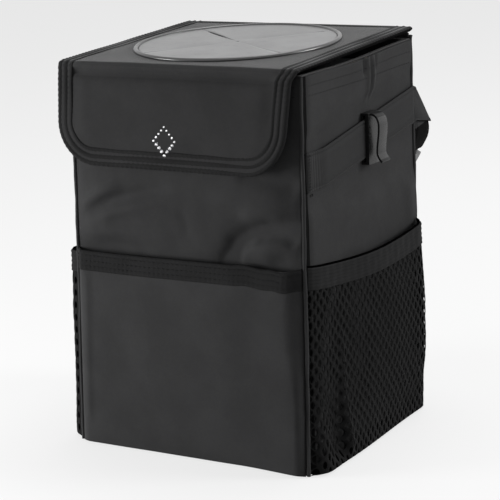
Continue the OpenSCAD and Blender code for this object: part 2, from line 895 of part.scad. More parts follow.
function tongue_outline() = let (
    route = tongue_route(), n = len(route),
    side = [for (i = [0:n - 1])
        let (d = unit(route[min(i + 1, n - 1)] - route[max(i - 1, 0)])) [d.y, -d.x] * tongue_t / 2]
) concat(
    [for (i = [0:n - 1]) route[i] + side[i]],
    [for (i = [n - 1:-1:0]) route[i] - side[i]]
);

module clip_profile(w) {
    rotate([90, 0, 0])
        linear_extrude(w, center = true)
            children();
}

module hook_clip() {
    lip_x = -plate_in - clip_lip_t;
    clip_profile(clip_l)
        translate([plate_in, -clip_h / 2]) square([clip_plate_t, clip_h]);
    clip_profile(clip_l)
        for (low = [clip_slot_h / 2, -clip_h / 2])
            translate([lip_x, low]) square([plate_in - lip_x + past, clip_lip_t]);
    clip_profile(clip_l)
        for (low = [clip_h / 2 - clip_lip_h, -clip_h / 2])
            translate([lip_x, low]) square([clip_lip_t, clip_lip_h]);
    clip_profile(tongue_w)
        polygon(tongue_outline());
}

module right_hook_clip() {
    color("#18181a") translate([strap_x, clip_y, clip_z]) hook_clip();
}

module left_hook_clip() {
    color("#18181a") mirror([1, 0, 0]) translate([strap_x, clip_y, clip_z]) hook_clip();
}

// A folded tag in the right back seam
module side_tag() {
    mid_z = tag_z + tag_h / 2;
    color("#141415")
        translate([side_x - 4, half_d(mid_z) + welt_out, tag_z])
            cube([tag_t, tag_out, tag_h]);
}

front_panel();
back_panel();
side_panel(-1);  // left_panel
side_panel(1);  // right_panel
base_panel();
end_board(-1);  // front_board
end_board(1);  // back_board
side_board(-1);  // left_board
side_board(1);  // right_board
base_board();
liner();
rim_hem();
color("#3a3a3c") welt(-1, -1);  // front_left_welt
color("#3a3a3c") welt(1, -1);  // front_right_welt
color("#3a3a3c") welt(-1, 1);  // back_left_welt
color("#3a3a3c") welt(1, 1);  // back_right_welt
hinge_tape();
front_pocket();
front_pocket_binding();
mirror([1, 0, 0]) right_mesh_pocket();  // left_mesh_pocket
right_mesh_pocket();
mirror([1, 0, 0]) right_pocket_hem();  // left_pocket_hem
right_pocket_hem();
front_loop_patch();
right_strap();
left_strap();
buckle_socket();
buckle_plug();
side_tag();
lid_cloth();
lid_board();
lid_lining();
lid_binding(-1);  // left_lid_binding
lid_binding(1);  // right_lid_binding
opening_ring();
slit_membrane();
clamp_ring();
flap_cloth();
flap_board();
flap_lining();
flap_binding();
flap_hook_patch();
flap_studs();
right_hook_clip();
left_hook_clip();
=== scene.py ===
import math

import bmesh
import bpy
import numpy as np
from mathutils import Matrix, Vector


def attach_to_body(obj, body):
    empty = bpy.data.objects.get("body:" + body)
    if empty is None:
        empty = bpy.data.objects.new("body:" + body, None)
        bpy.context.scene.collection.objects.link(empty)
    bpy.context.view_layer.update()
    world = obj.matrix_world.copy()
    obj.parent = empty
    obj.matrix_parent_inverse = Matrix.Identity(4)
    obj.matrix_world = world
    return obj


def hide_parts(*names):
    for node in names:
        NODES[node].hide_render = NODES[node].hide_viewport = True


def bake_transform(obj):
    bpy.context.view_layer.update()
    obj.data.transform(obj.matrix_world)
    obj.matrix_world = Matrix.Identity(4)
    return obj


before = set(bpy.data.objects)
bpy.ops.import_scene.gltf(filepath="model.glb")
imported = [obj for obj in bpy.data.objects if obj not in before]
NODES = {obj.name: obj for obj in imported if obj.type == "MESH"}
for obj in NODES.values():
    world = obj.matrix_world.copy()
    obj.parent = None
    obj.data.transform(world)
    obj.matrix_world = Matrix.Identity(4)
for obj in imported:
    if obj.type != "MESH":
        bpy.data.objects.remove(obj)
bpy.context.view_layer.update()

MM = 0.001


# The camera, at the photograph's viewing angle

def place_camera():
    azimuth, elevation, roll = math.radians(31.13), math.radians(12.59), math.radians(-2.32)
    distance, focal, offset = 1463.5, 1913.5, (-2.2, -15.9)
    away = Vector((math.sin(azimuth) * math.cos(elevation), -math.cos(azimuth) * math.cos(elevation),
                   math.sin(elevation)))
    right = Vector((math.cos(azimuth), math.sin(azimuth), 0))
    up = away.cross(right)
    x = right * math.cos(roll) + up * math.sin(roll)
    y = up * math.cos(roll) - right * math.sin(roll)
    # The small shift of the picture is taken up by aiming a little lower
    z = (away * focal + x * offset[0] - y * offset[1]).normalized()
    x = y.cross(z).normalized()
    y = z.cross(x)
    spot = Vector((0, 0, 150)) + away * distance
    camera = bpy.data.objects.new("camera", bpy.data.cameras.new("camera"))
    camera.data.sensor_width = 36
    camera.data.lens = focal * 36 / 500
    camera.data.clip_end = 50
    turn = Matrix((x, y, z)).transposed().to_4x4()
    camera.matrix_world = Matrix.Translation(spot * MM) @ turn
    bpy.context.scene.collection.objects.link(camera)
    bpy.context.scene.camera = camera


place_camera()


# Materials

class Nodes:
    """Short calls for the nodes of a material or a world."""

    def __init__(self, owner):
        self.owner = owner
        owner.use_nodes = True
        self.tree = owner.node_tree

    def set(self, **values):
        """Settings and wires of the material's shader, by the socket's name."""
        for key, value in values.items():
            socket = self.tree.nodes["Principled BSDF"].inputs[key.replace("_", " ")]
            if isinstance(value, (int, float)):
                socket.default_value = value
            else:
                self.link(value, socket)
        return self.owner

    def add(self, kind, **settings):
        node = self.tree.nodes.new(kind)
        for key, value in settings.items():
            setattr(node, key, value)
        return node

    def link(self, a, b):
        self.tree.links.new(a, b)

    def math(self, operation, a, b=None, c=None):
        node = self.add("ShaderNodeMath", operation=operation)
        for socket, value in zip(node.inputs, (a, b, c)):
            if value is None:
                continue
            if isinstance(value, (int, float)):
                socket.default_value = value
            else:
                self.link(value, socket)
        return node.outputs[0]

    def ramp(self, value, low, high):
        node = self.add("ShaderNodeMapRange")
        node.interpolation_type = "SMOOTHSTEP"
        self.link(value, node.inputs["Value"])
        node.inputs["From Min"].default_value = low
        node.inputs["From Max"].default_value = high
        return node.outputs[0]

    def noise(self, scale, detail=3.0, rough=0.5, vector=None):
        node = self.add("ShaderNodeTexNoise")
        node.inputs["Scale"].default_value = scale
        node.inputs["Detail"].default_value = detail
        node.inputs["Roughness"].default_value = rough
        self.link(vector or self.place(), node.inputs["Vector"])
        return node.outputs["Fac"]

    def place(self):
        if not hasattr(self, "_place"):
            self._place = self.add("ShaderNodeTexCoord").outputs["Object"]
        return self._place

    def cloth_place(self):
        """The two directions along the cloth, in millimetres."""
        if not hasattr(self, "_cloth"):
            node = self.add("ShaderNodeUVMap", uv_map="cloth")
            split = self.add("ShaderNodeSeparateXYZ")
            self.link(node.outputs[0], split.inputs[0])
            self._cloth = tuple(self.math("MULTIPLY", split.outputs[k], 1000.0) for k in (0, 1))
        return self._cloth

    def mix(self, factor, a, b):
        node = self.add("ShaderNodeMix", data_type="RGBA")
        self.link(factor, node.inputs[0])
        for socket, value in ((node.inputs[6], a), (node.inputs[7], b)):
            if isinstance(value, tuple):
                socket.default_value = value
            else:
                self.link(value, socket)
        return node.outputs[2]

    def bump(self, height, distance, strength=1.0, under=None):
        node = self.add("ShaderNodeBump")
        node.inputs["Distance"].default_value = distance
        node.inputs["Strength"].default_value = strength
        self.link(height, node.inputs["Height"])
        if under is not None:
            self.link(under, node.inputs["Normal"])
        return node.outputs[0]


def grey(value, blue=1.02):
    return (value, value, value * blue, 1.0)


def new_material(name):
    return Nodes(bpy.data.materials.new(name))


def finish_cloth(m, height, depth, base, vary, rough, sheen, sheen_rough, specular):
    """The shared end of a cloth: yarn colour, soft patches, fine lint and the weave's bump."""
    patches = m.ramp(m.noise(28.0, 4.0, 0.6), 0.35, 0.68)
    fine = m.ramp(m.noise(900.0, 2.0, 0.7), 0.3, 0.75)
    amount = m.math("ADD", m.math("MULTIPLY", patches, 0.45), m.math("MULTIPLY", fine, 0.25))
    amount = m.math("ADD", amount, m.math("MULTIPLY", height, 0.5))
    colour = m.mix(m.math("MINIMUM", amount, 1.0), grey(base * (1 - vary)), grey(base * (1 + vary)))
    soft = m.bump(m.noise(60.0, 3.0, 0.55), 0.0008, 0.35)
    return m.set(Base_Color=colour, Roughness=rough, Sheen_Weight=sheen, Sheen_Roughness=sheen_rough,
                 Specular_IOR_Level=specular, Normal=m.bump(height, depth, 1.0, soft))


def woven(name, base, pitch=0.85, depth=0.00016, vary=0.22, rough=0.78, sheen=0.02, sheen_rough=0.45,
          specular=0.1):
    """Plain weave: warp and weft pass over each other in a checkerboard."""
    m = new_material(name)
    u, v = m.cloth_place()
    across = m.math("SINE", m.math("MULTIPLY", u, math.pi / pitch))
    along = m.math("SINE", m.math("MULTIPLY", v, math.pi / pitch))
    over = m.ramp(m.math("MULTIPLY", across, along), -0.15, 0.15)
    warp = m.math("ABSOLUTE", across)
    weft = m.math("ABSOLUTE", along)
    height = m.math("ADD", m.math("MULTIPLY", warp, over),
                    m.math("MULTIPLY", weft, m.math("SUBTRACT", 1.0, over)))
    slub = m.ramp(m.noise(240.0, 2.0, 0.5), 0.3, 0.8)
    height = m.math("MULTIPLY", height, m.math("ADD", 0.75, m.math("MULTIPLY", slub, 0.25)))
    return finish_cloth(m, height, depth, base, vary, rough, sheen, sheen_rough, specular)


def ribbed(name, base, pitch, slant=0.0, depth=0.0002, vary=0.3, rough=0.75, sheen=0.02, cross=0.0,
           cross_pitch=2.0, specular=0.08, end_ribs=False):
    """Ribs across the cloth's first direction, slanted for a twill."""
    m = new_material(name)
    u, v = m.cloth_place()
    line = m.math("ADD", u, m.math("MULTIPLY", v, slant))
    height = m.math("ABSOLUTE", m.math("SINE", m.math("MULTIPLY", line, math.pi / pitch)))
    if cross:
        other = m.math("ABSOLUTE", m.math("SINE", m.math("MULTIPLY", v, math.pi / cross_pitch)))
        height = m.math("ADD", m.math("MULTIPLY", height, 1 - cross), m.math("MULTIPLY", other, cross))
    if end_ribs:
        # The pressed sewn end shows coarser ribs
        coarse = m.math("ABSOLUTE", m.math("SINE", m.math("MULTIPLY", u, math.pi / 3.1)))
        near = m.math("SUBTRACT", 1.0, m.ramp(m.math("MULTIPLY", u, 0.01), 0.14, 0.22))
        height = m.math("ADD", height, m.math("MULTIPLY", m.math("MULTIPLY", coarse, near), 2.2))
    return finish_cloth(m, height, depth, base, vary, rough, sheen, 0.4, specular)


def moulded(name, base, rough, grain=0.00004, specular=0.5, scratch=0.15):
    """Moulded plastic or rubber: fine grain, soft flow marks and small scuffs in its gloss."""
    m = new_material(name)
    flow = m.noise(35.0, 3.0, 0.5)
    scuffs = m.ramp(m.noise(160.0, 6.0, 0.75), 0.52, 0.72)
    return m.set(Base_Color=m.mix(m.ramp(flow, 0.3, 0.7), grey(base * 0.85), grey(base * 1.15)),
                 Roughness=m.math("ADD", rough, m.math("MULTIPLY", scuffs, scratch)),
                 Specular_IOR_Level=specular,
                 Normal=m.bump(m.noise(1500.0, 2.0, 0.6), grain, 0.6, m.bump(flow, 0.0006, 0.25)))


def cardboard(name):
    m = new_material(name)
    fibre = m.noise(420.0, 5.0, 0.7)
    return m.set(Base_Color=m.mix(m.ramp(fibre, 0.3, 0.7), (0.36, 0.32, 0.25, 1), (0.48, 0.43, 0.35, 1)),
                 Roughness=0.9, Normal=m.bump(fibre, 0.0002, 0.5))


def stud_metal(name):
    m = new_material(name)
    return m.set(Base_Color=m.mix(m.ramp(m.noise(700.0), 0.3, 0.7), grey(0.72), grey(0.9)), Metallic=1.0,
                 Roughness=m.math("ADD", 0.1, m.math("MULTIPLY", m.noise(300.0), 0.2)))


OXFORD = woven("oxford", 0.032)
# A glossier copy of the cloth, with more sheen, given only to up-facing faces: painted sheen on the tops
OXFORD_PAINTED_SHEEN = woven("oxford_painted_sheen", 0.032, sheen=0.1, sheen_rough=0.35, rough=0.6, specular=0.3)
OXFORD_FLAP = woven("oxford_flap", 0.0275)
OXFORD_POCKET = woven("oxford_pocket", 0.0338)
# A much darker copy of the cloth for the band beside the front seams: painted shade in the seam's valley
OXFORD_PAINTED_SEAM_SHADE = woven("oxford_painted_seam_shade", 0.006, specular=0.03)
BASE_CLOTH = woven("base_cloth", 0.026)
TWILL = ribbed("twill_binding", 0.014, 1.1, slant=0.8, depth=0.00022)
# A slightly lighter, glossier copy of the binding for its up-facing faces: painted sheen
TWILL_PAINTED_SHEEN = ribbed("twill_binding_painted_sheen", 0.015, 1.1, slant=0.8, depth=0.0002, rough=0.7, sheen=0.03,
                   specular=0.12)
# A much darker copy of the binding for its faces turned away from the light: painted shade
TWILL_PAINTED_SHADE = ribbed("twill_binding_painted_shade", 0.0028, 1.1, slant=0.8, depth=0.0002, sheen=0.0, specular=0.02)
HEM = ribbed("elastic_hem", 0.0115, 1.5, cross=0.9, cross_pitch=2.6, depth=0.00012)
WEBBING = ribbed("webbing", 0.028, 1.3, depth=0.00012, vary=0.1, end_ribs=True)
# A nearly black copy of the webbing: painted shade on its hanging loop
WEBBING_PAINTED_SHADE = ribbed("webbing_painted_shade", 0.0025, 1.3, depth=0.00012, vary=0.15, sheen=0.0, specular=0.02)
PIPING = ribbed("piping", 0.036, 1.0, slant=0.6, depth=0.0002)
# Painted shade: caps standing for the dark seen through the net's holes, and the hem's faces towards the wall
MESH_PAINTED_SHADE = ribbed("mesh_shade", 0.0012, 0.5, slant=1.0, depth=0.00005, rough=0.95, sheen=0.0, specular=0.0)
MESH = ribbed("mesh_thread", 0.006, 0.5, slant=1.0, depth=0.0001, rough=0.7, specular=0.06)
THREAD = ribbed("thread", 0.006, 0.35, slant=1.0, depth=0.00008, rough=0.6, sheen=0.02, specular=0.1)
LINING = moulded("lining", 0.13, 0.45, grain=0.00008, scratch=0.1, specular=0.3)
HOOKS = woven("hook_and_loop", 0.012, pitch=1.3, depth=0.0006, rough=0.95, vary=0.6)
TAG = ribbed("tag", 0.015, 0.5, rough=0.5, sheen=0.1)
PLASTIC = moulded("clip_plastic", 0.012, 0.27, scratch=0.1, specular=0.34)
# A duller, less glossy copy of the clip's plastic for faces not turned to the sides: painted shade
PLASTIC_PAINTED_SHADE = moulded("clip_plastic_painted_shade", 0.012, 0.34, scratch=0.1, specular=0.12)
BUCKLE = moulded("buckle_plastic", 0.012, 0.3, specular=0.4)
RING = moulded("ring_plastic", 0.024, 0.28, specular=0.8)
RUBBER = moulded("membrane_rubber", 0.125, 0.34, scratch=0.06, specular=0.75)
BOARD = cardboard("board")
STUDS = stud_metal("studs")


# Geometry

def add_mesh(name, points, faces, material, uv=None, smooth=True):
    """An object from points in millimetres; uv has one place in millimetres for each point."""
    data = bpy.data.meshes.new(name)
    data.from_pydata((np.asarray(points, float) * MM).tolist(), [], [tuple(f) for f in faces])
    data.validate()
    if uv is not None:
        layer = data.uv_layers.new(name="cloth")
        corner = np.zeros(len(data.loops), np.int32)
        data.loops.foreach_get("vertex_index", corner)
        layer.uv.foreach_set("vector", (np.asarray(uv, float)[corner] * MM).astype(np.float32).ravel())
    data.polygons.foreach_set("use_smooth", [smooth] * len(data.polygons))
    data.materials.append(material)
    piece = bpy.data.objects.new(name, data)
    bpy.context.scene.collection.objects.link(piece)
    return piece


def normals_of(grid, flip=False):
    du = np.gradient(grid, axis=0)
    dv = np.gradient(grid, axis=1)
    n = np.cross(du, dv)
    n /= np.linalg.norm(n, axis=2, keepdims=True) + 1e-12
    return -n if flip else n


def grid_quads(nu, nv, start=0, flip=False):
    i, j = grid_of(np.arange(nu - 1), np.arange(nv - 1))
    a = (start + i * nv + j).ravel()
    quads = np.stack([a, a + nv, a + nv + 1, a + 1], 1)
    return quads[:, ::-1] if flip else quads


def rim_quads(nu, nv, other, flip=False):
    """Quads that join the borders of two grids of the same size, the second one starting at other."""
    loop = ([i * nv for i in range(nu)] + [(nu - 1) * nv + j for j in range(1, nv)]
            + [i * nv + nv - 1 for i in range(nu - 2, -1, -1)] + [j for j in range(nv - 2, 0, -1)])
    loop = np.array(loop)
    after = np.roll(loop, -1)
    quads = np.stack([loop, loop + other, after + other, after], 1)
    return quads[:, ::-1] if flip else quads


def cloth(name, grid, thick, material, uv, flip=False, drop=None):
    """A closed sheet whose outer face is the grid; flip turns it over and drop marks quads left out."""
    nu, nv = grid.shape[:2]
    n = normals_of(grid, flip)
    inner = grid - n * (thick if np.isscalar(thick) else thick[..., None])
    points = np.concatenate([grid.reshape(-1, 3), inner.reshape(-1, 3)])
    outer_quads = grid_quads(nu, nv, 0, flip)
    inner_quads = grid_quads(nu, nv, nu * nv, not flip)
    sides = rim_quads(nu, nv, nu * nv, flip)
    if drop is not None:
        keep = ~drop.ravel()
        outer_quads, inner_quads = outer_quads[keep], inner_quads[keep]
        sides = np.concatenate([sides, hole_quads(drop, nv, nu * nv, flip)])
    faces = np.concatenate([outer_quads, inner_quads, sides])
    return add_mesh(name, points, faces, material, np.concatenate([uv.reshape(-1, 2)] * 2))


def hole_quads(drop, nv, other, flip):
    """Walls between the two faces round the quads that were left out."""
    walls = []
    nu = drop.shape[0]
    steps = (((0, -1), (0, 1)), ((1, 0), (1, 2)), ((0, 1), (2, 3)), ((-1, 0), (3, 0)))
    for i, j in zip(*np.nonzero(drop)):
        a = i * nv + j
        corners = (a, a + nv, a + nv + 1, a + 1)
        for (di, dj), (p, q) in steps:
            x, y = i + di, j + dj
            if 0 <= x < nu and 0 <= y < drop.shape[1] and not drop[x, y]:
                one, two = corners[p], corners[q]
                quad = (one, two, two + other, one + other)
                walls.append(quad[::-1] if flip else quad)
    return np.array(walls, int).reshape(-1, 4)


def paint(piece, more, rule):
    """More materials; rule gives each face's number from its middle in millimetres and its direction."""
    for material in more:
        piece.data.materials.append(material)
    for face in piece.data.polygons:
        face.material_index = int(rule(face.center / MM, face.normal))


def run_of(path):
    """The length run along a path at each of its points."""
    return np.concatenate([[0], np.cumsum(np.linalg.norm(np.diff(path, axis=0), axis=1))])


def stack(*parts):
    """Points from their two or three coordinates."""
    return np.stack(np.broadcast_arrays(*parts), -1)


def grid_of(a, b):
    return np.meshgrid(a, b, indexing="ij")


def loft_faces(n, m, start=0, caps=True):
    """Faces between n rings of m points each, and over both ends."""
    faces = [tuple(start + i * m + k for i, k in ((i, k), (i, (k + 1) % m), (i + 1, (k + 1) % m), (i + 1, k)))
             for i in range(n - 1) for k in range(m)]
    if caps:
        faces += [tuple(start + k for k in range(m))[::-1], tuple(start + (n - 1) * m + k for k in range(m))]
    return faces


def loft(name, rings, material, u, v):
    """A closed body from rings of points, with a flat face at both ends."""
    n, m = rings.shape[:2]
    uv = stack(u[:, None], v[None]).reshape(-1, 2)
    piece = add_mesh(name, rings.reshape(-1, 3), loft_faces(n, m), material, uv)
    fix_normals(piece)
    return piece


def fix_normals(piece):
    work = bmesh.new()
    work.from_mesh(piece.data)
    bmesh.ops.recalc_face_normals(work, faces=work.faces)
    work.to_mesh(piece.data)
    work.free()


def join_pieces(name, pieces):
    """Several new objects with one material list made into one."""
    work = bmesh.new()
    for piece in pieces:
        work.from_mesh(piece.data)
    data = bpy.data.meshes.new(name)
    for material in pieces[0].data.materials:
        data.materials.append(material)
    work.to_mesh(data)
    work.free()
    for piece in pieces:
        bpy.data.objects.remove(piece)
    joined = bpy.data.objects.new(name, data)
    bpy.context.scene.collection.objects.link(joined)
    return joined


def ease(x, low, high):
    """From 0 at low to 1 at high, with soft ends."""
    t = np.clip((np.asarray(x, float) - low) / (high - low), 0, 1)
    return t * t * (3 - 2 * t)


def ridge(x, y, points, width, height, ends=0.25, skew=0.0):
    """Height of a soft fold along a polyline, fading to its ends; skew makes one flank steeper."""
    points = np.asarray(points, float)
    segments = np.diff(points, axis=0)
    lengths = np.linalg.norm(segments, axis=1)
    total = lengths.sum()
    best = np.full(np.shape(x), 1e9)
    place = np.zeros(np.shape(x))
    side = np.zeros(np.shape(x))
    start = 0.0
    for p, s, length in zip(points, segments, lengths):
        t = np.clip(((x - p[0]) * s[0] + (y - p[1]) * s[1]) / length ** 2, 0, 1)
        dx, dy = x - p[0] - t * s[0], y - p[1] - t * s[1]
        d = np.hypot(dx, dy)
        closer = d < best
        best = np.where(closer, d, best)
        place = np.where(closer, (start + t * length) / total, place)
        side = np.where(closer, np.sign(s[0] * dy - s[1] * dx), side)
        start += length
    wide = width * (1 + skew * side)
    fade = ease(place, 0, ends) * (1 - ease(place, 1 - ends, 1)) if ends > 0 else 1.0
    return height * fade * np.exp(-(best / wide) ** 2)


def waves(x, y, seed, size, count=5):
    """A soft repeatable unevenness from a few sine waves, about -1 to 1."""
    draw = np.random.default_rng(seed)
    out = np.zeros(np.shape(x))
    for _ in range(count):
        angle, phase = draw.uniform(0, math.pi), draw.uniform(0, 2 * math.pi)
        scale = size * draw.uniform(0.6, 1.6)
        out = out + np.sin((np.cos(angle) * x + np.sin(angle) * y) * 2 * math.pi / scale + phase)
    return out / count * 1.4


def lines(a, b, n):
    return np.linspace(a, b, n)


def unit(v):
    v = np.asarray(v, float)
    return v / np.linalg.norm(v, axis=-1, keepdims=True)


def stitches(path, outward, length, gap, radius, lift):
    """Lockstitches along a path of points: short threads that dip at both ends."""
    path, outward = np.asarray(path, float), unit(outward)
    if outward.ndim == 1:
        outward = np.broadcast_to(outward, path.shape)
    where = run_of(path)
    count = int(where[-1] // (length + gap))
    pitch = where[-1] / count
    rows = np.array([(0.0, 0.2, -0.5), (0.22, 0.8, 0.3), (0.5, 1.0, 1.0), (0.78, 0.8, 0.3), (1.0, 0.2, -0.5)])
    sides = 6
    points, faces, uv = [], [], []

    def at(values, s):
        return np.array([np.interp(s, where, values[:, c]) for c in range(3)])

    for k in range(count):
        s0 = k * pitch + gap / 2
        ring_start = len(points)
        for t, size, rise in rows:
            s = s0 + t * (pitch - gap)
            p, after, before = at(path, s), at(path, s + 0.2), at(path, s - 0.2)
            n = unit(at(outward, s))
            side = unit(np.cross(after - before, n))
            for a in range(sides):
                angle = 2 * math.pi * a / sides
                points.append(p + n * (lift * rise + radius * size * math.sin(angle) * 0.8)
                              + side * radius * size * math.cos(angle))
                uv.append((s, radius * angle))
        faces += loft_faces(len(rows), sides, ring_start)
    piece = add_mesh("row", points, faces, THREAD, uv)
    fix_normals(piece)
    return piece


# Sizes from the part's source, in millimetres

BODY_W, BODY_D, BODY_H, LEAN = 198.0, 184.0, 287.0, 6.3
SIDE_X = BODY_W / 2
CLOTH_T, BOARD_T, HEM_T = 1.0, 2.5, 0.6
WALL_TOP = BODY_H - HEM_T
WELT_R, WELT_OUT = 1.4, 0.2
HINGE_Y, HINGE_Z = BODY_D / 2 - LEAN + 1.6, BODY_H + 13.2
FOLD_Y, FOLD_Z = -(BODY_D / 2 - LEAN) - 6.8, BODY_H + 4.5
TILT = math.atan2(HINGE_Z - FOLD_Z, HINGE_Y - FOLD_Y)
LID_L = math.hypot(HINGE_Z - FOLD_Z, HINGE_Y - FOLD_Y)
LID_W, LID_T, FLAP_T = 200.0, 3.3, 3.1
LID_BACK_GAP = 1.0
LID_MID = -(LID_L + LID_BACK_GAP) / 2
TAPE_W = 11.0
HOLE_R = 70.0
HOLE_AT = -LID_MID - LID_BACK_GAP
LINING_HOLE_R = HOLE_R + 1.2
FLAP_H, FLAP_R = 76.0, 32.0
POCKET_H = 151.0
POCKET_HALF = SIDE_X - WELT_R - 0.2
SIDE_POCKET_H, SIDE_SAG = 151.0, 6.0


def half_d(z):
    return BODY_D / 2 - LEAN * np.asarray(z, float) / BODY_H


def on_lid(points):
    """From the lid's own level frame, with the hinge line on the X axis, to the row's frame."""
    p = np.asarray(points, float)
    c, s = math.cos(TILT), math.sin(TILT)
    return stack(p[..., 0], HINGE_Y + p[..., 1] * c - p[..., 2] * s,
                     HINGE_Z + p[..., 1] * s + p[..., 2] * c)


def settled(points):
    """How the soft body has settled: the front left corner is drawn in above its base, the front right
    foot spreads, and the rim rises a little towards the hinge."""
    p = np.array(points, float)
    x, y, z = p[..., 0].copy(), p[..., 1].copy(), p[..., 2].copy()
    drawn = 4.6 * ease(z, -40, 205) * ease(-x, 30, 98) * ease(-y, 61, 90)
    p[..., 0] += drawn * (1 - ease(-x - SIDE_X, 2, 9))
    foot = ease(x, 45, 100) * ease(-y, 60, 92) * (1 - ease(z, 0, 50))
    p[..., 1] -= 3.6 * foot
    p[..., 0] += 1.4 * foot * ease(x, 88, 99)
    p[..., 2] += 5.0 * ease(y, -35, 95) * ease(z, 257, 287.5)
    return p


def hanging(points):
    """The flap hangs a little away from the front and is drawn in at its right edge."""
    p = np.array(points, float)
    drop = np.maximum(0, FOLD_Z - p[..., 2])
    right = np.clip(p[..., 0] / 100, 0, 1)
    p[..., 1] -= drop * (0.088 + 0.03 * right) * ease(drop, 0, 14)
    p[..., 0] -= right * (4.9 * ease(drop, -1, 9) + 0.07 * drop)
    p[..., 2] += 0.033 * drop
    return p


def reshape(piece, change):
    count = len(piece.data.vertices)
    co = np.zeros(count * 3)
    piece.data.vertices.foreach_get("co", co)
    piece.data.vertices.foreach_set("co", (change(co.reshape(-1, 3) / MM) * MM).ravel())
    piece.data.update()


def attach(piece, body, *nodes, slot=None):
    if body:
        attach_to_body(piece, body)
    if nodes:
        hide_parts(*nodes)
    return piece


def on_bin(piece, *nodes, slot=None):
    reshape(piece, settled)
    return attach(piece, "bin", *nodes, slot=slot)


def on_flap(piece, *nodes, slot=None):
    reshape(piece, hanging)
    return attach(piece, "flap", *nodes, slot=slot)


# Body cloth

def edge_fade(x, z, half, z0, z1, width=9.0):
    return (ease(half - np.abs(x), 0, width) * ease(z - z0, 0, width)
            * ease(z1 - z, 0, width))


# Folds of the front cloth above its pocket: height (below 0 a valley), width, fade at the ends, skew, route
FRONT_FOLDS = [
    (3.0, 4.6, 0.4, 0, [(-99, 179), (-88, 187), (-72, 196), (-45, 205)]),
    (-2.9, 5.0, 0.35, 0, [(-99, 171), (-84, 181), (-60, 191), (-30, 199), (4, 205)]),
    (2.4, 5.4, 0.4, 0, [(-99, 163), (-84, 172), (-60, 182), (-8, 192)]),
    (-1.2, 6.0, 0.4, 0, [(-99, 166), (-70, 175), (-30, 181)]),
    (-3.2, 5.4, 0.5, 0, [(-99, 156), (-66, 158), (-18, 153)]),
    (1.3, 8, 0.2, 0, [(-97, 168), (-50, 169), (-5, 166)]),
    (-7.0, 6.6, 0.05, 0.2,
     [(39, 140), (41.5, 154), (47, 165.5), (58, 173), (71, 177), (84, 177.5), (96, 173)]),
    (2.2, 9, 0.5, 0, [(54, 148), (68, 161), (92, 166)]),
    (-3.4, 5.0, 0.2, 0, [(58, 172), (72, 176.5), (86, 177), (98, 173)]),
    (2.4, 6.5, 0.3, 0, [(46, 186), (70, 189), (94, 187)]),
    (-1.0, 5, 0.35, 0, [(72, 150), (80, 157), (90, 158)]),
    (-2.6, 7, 0.15, 0, [(48, 220), (74, 214), (98, 208)]),
    (1.5, 9, 0.3, 0, [(20, 200), (56, 198), (92, 196)]),
    (-0.8, 4, 0.3, 0, [(-2, 190), (4, 178), (4, 166)])]

# Short creases that run down from the rim of the side walls
SIDE_CREASES = [
    (-1.9, 1.5, 0.1, 0, [(3.5, 296), (4, 284), (5, 274)]),
    (-1.6, 1.7, 0.1, 0, [(24, 297), (23.5, 286), (22, 276)]),
    (-1.2, 1.5, 0.1, 0, [(38, 297), (38, 287)]),
    (1.5, 2.6, 0.15, 0, [(9, 294), (11, 274), (8, 250)]),
    (1.4, 2.4, 0.2, 0, [(20, 288), (18, 270), (13, 250)]),
    (-1.5, 1.8, 0.2, 0, [(14.5, 292), (14.5, 270), (10.5, 252)])]


def folds(x, y, table):
    return sum(ridge(x, y, route, width, height, ends, skew) for height, width, ends, skew, route in table)


def front_relief(x, z):
    low = POCKET_H - 12
    puff = 4.6 * (1 - np.abs(x / SIDE_X) ** 8)
    h = puff * ease(z, low - 5, low + 34) * (1 - ease(z, 222, 262)) + folds(x, z, FRONT_FOLDS)
    h += 0.4 * waves(x, z, 3, 46) + 0.16 * waves(x, z, 4, 17)
    return 0.3 + np.maximum(h, 0) * edge_fade(x, z, SIDE_X, 0, WALL_TOP + 6, 5)


def back_relief(x, z):
    h = 1.3 * (1 - np.abs(x / SIDE_X) ** 4) + 0.7 * waves(x, z, 12, 90) + 0.3 * waves(x, z, 13, 38)
    h += ridge(x, z, [(-70, 250), (-30, 215), (10, 205)], 9, 0.8)
    h -= ridge(x, z, [(-80, 60), (-20, 70), (50, 40)], 11, 0.8)
    top = 1 - ease(z, 250, 258)
    return 0.25 + np.clip(h, 0, 2.4) * edge_fade(x, z, SIDE_X, 0, WALL_TOP, 8) * top


def side_relief(y, z):
    """The wall stands out a little from its corner seams; along the strap's path it lies on its board."""
    lift = 243 + (y - 10) * math.tan(math.radians(9)) + 14
    above = ease(z, lift - 4, lift + 8)
    below = 1 - ease(z, 179, 198)
    h = 1.5 + 0.5 * waves(y, z, 21, 60) + 0.9 * np.exp(-((y - 14) / 26.0) ** 2) * above
    h += folds(y, z, SIDE_CREASES)
    h += below * (ridge(y, z, [(60, 205), (74, 180), (80, 150)], 8, 1.4, 0.2)
                  + ridge(y, z, [(-60, 196), (-10, 178), (40, 182)], 14, 0.8))
    inset = half_d(z) - np.abs(y)
    seam = -0.8 * (1 - ease(inset, 2.5, 9)) * np.where(y < 0, 1.0, 0.2)
    seam = seam - 1.5 * (1 - ease(inset, 1.2, 3.2)) * (y < 0)
    at_seam = np.where(y < 0, ease(inset, 1, 12), ease(inset, -1.5, 2.5))
    free = (above + below) * at_seam * ease(z, 0, 6)
    return 0.2 + seam + np.clip(h, 0, 3.8) * free


# Width of the band along the side cloth's front seam that is painted with shade
SEAM_SHADE_BAND = 6.4


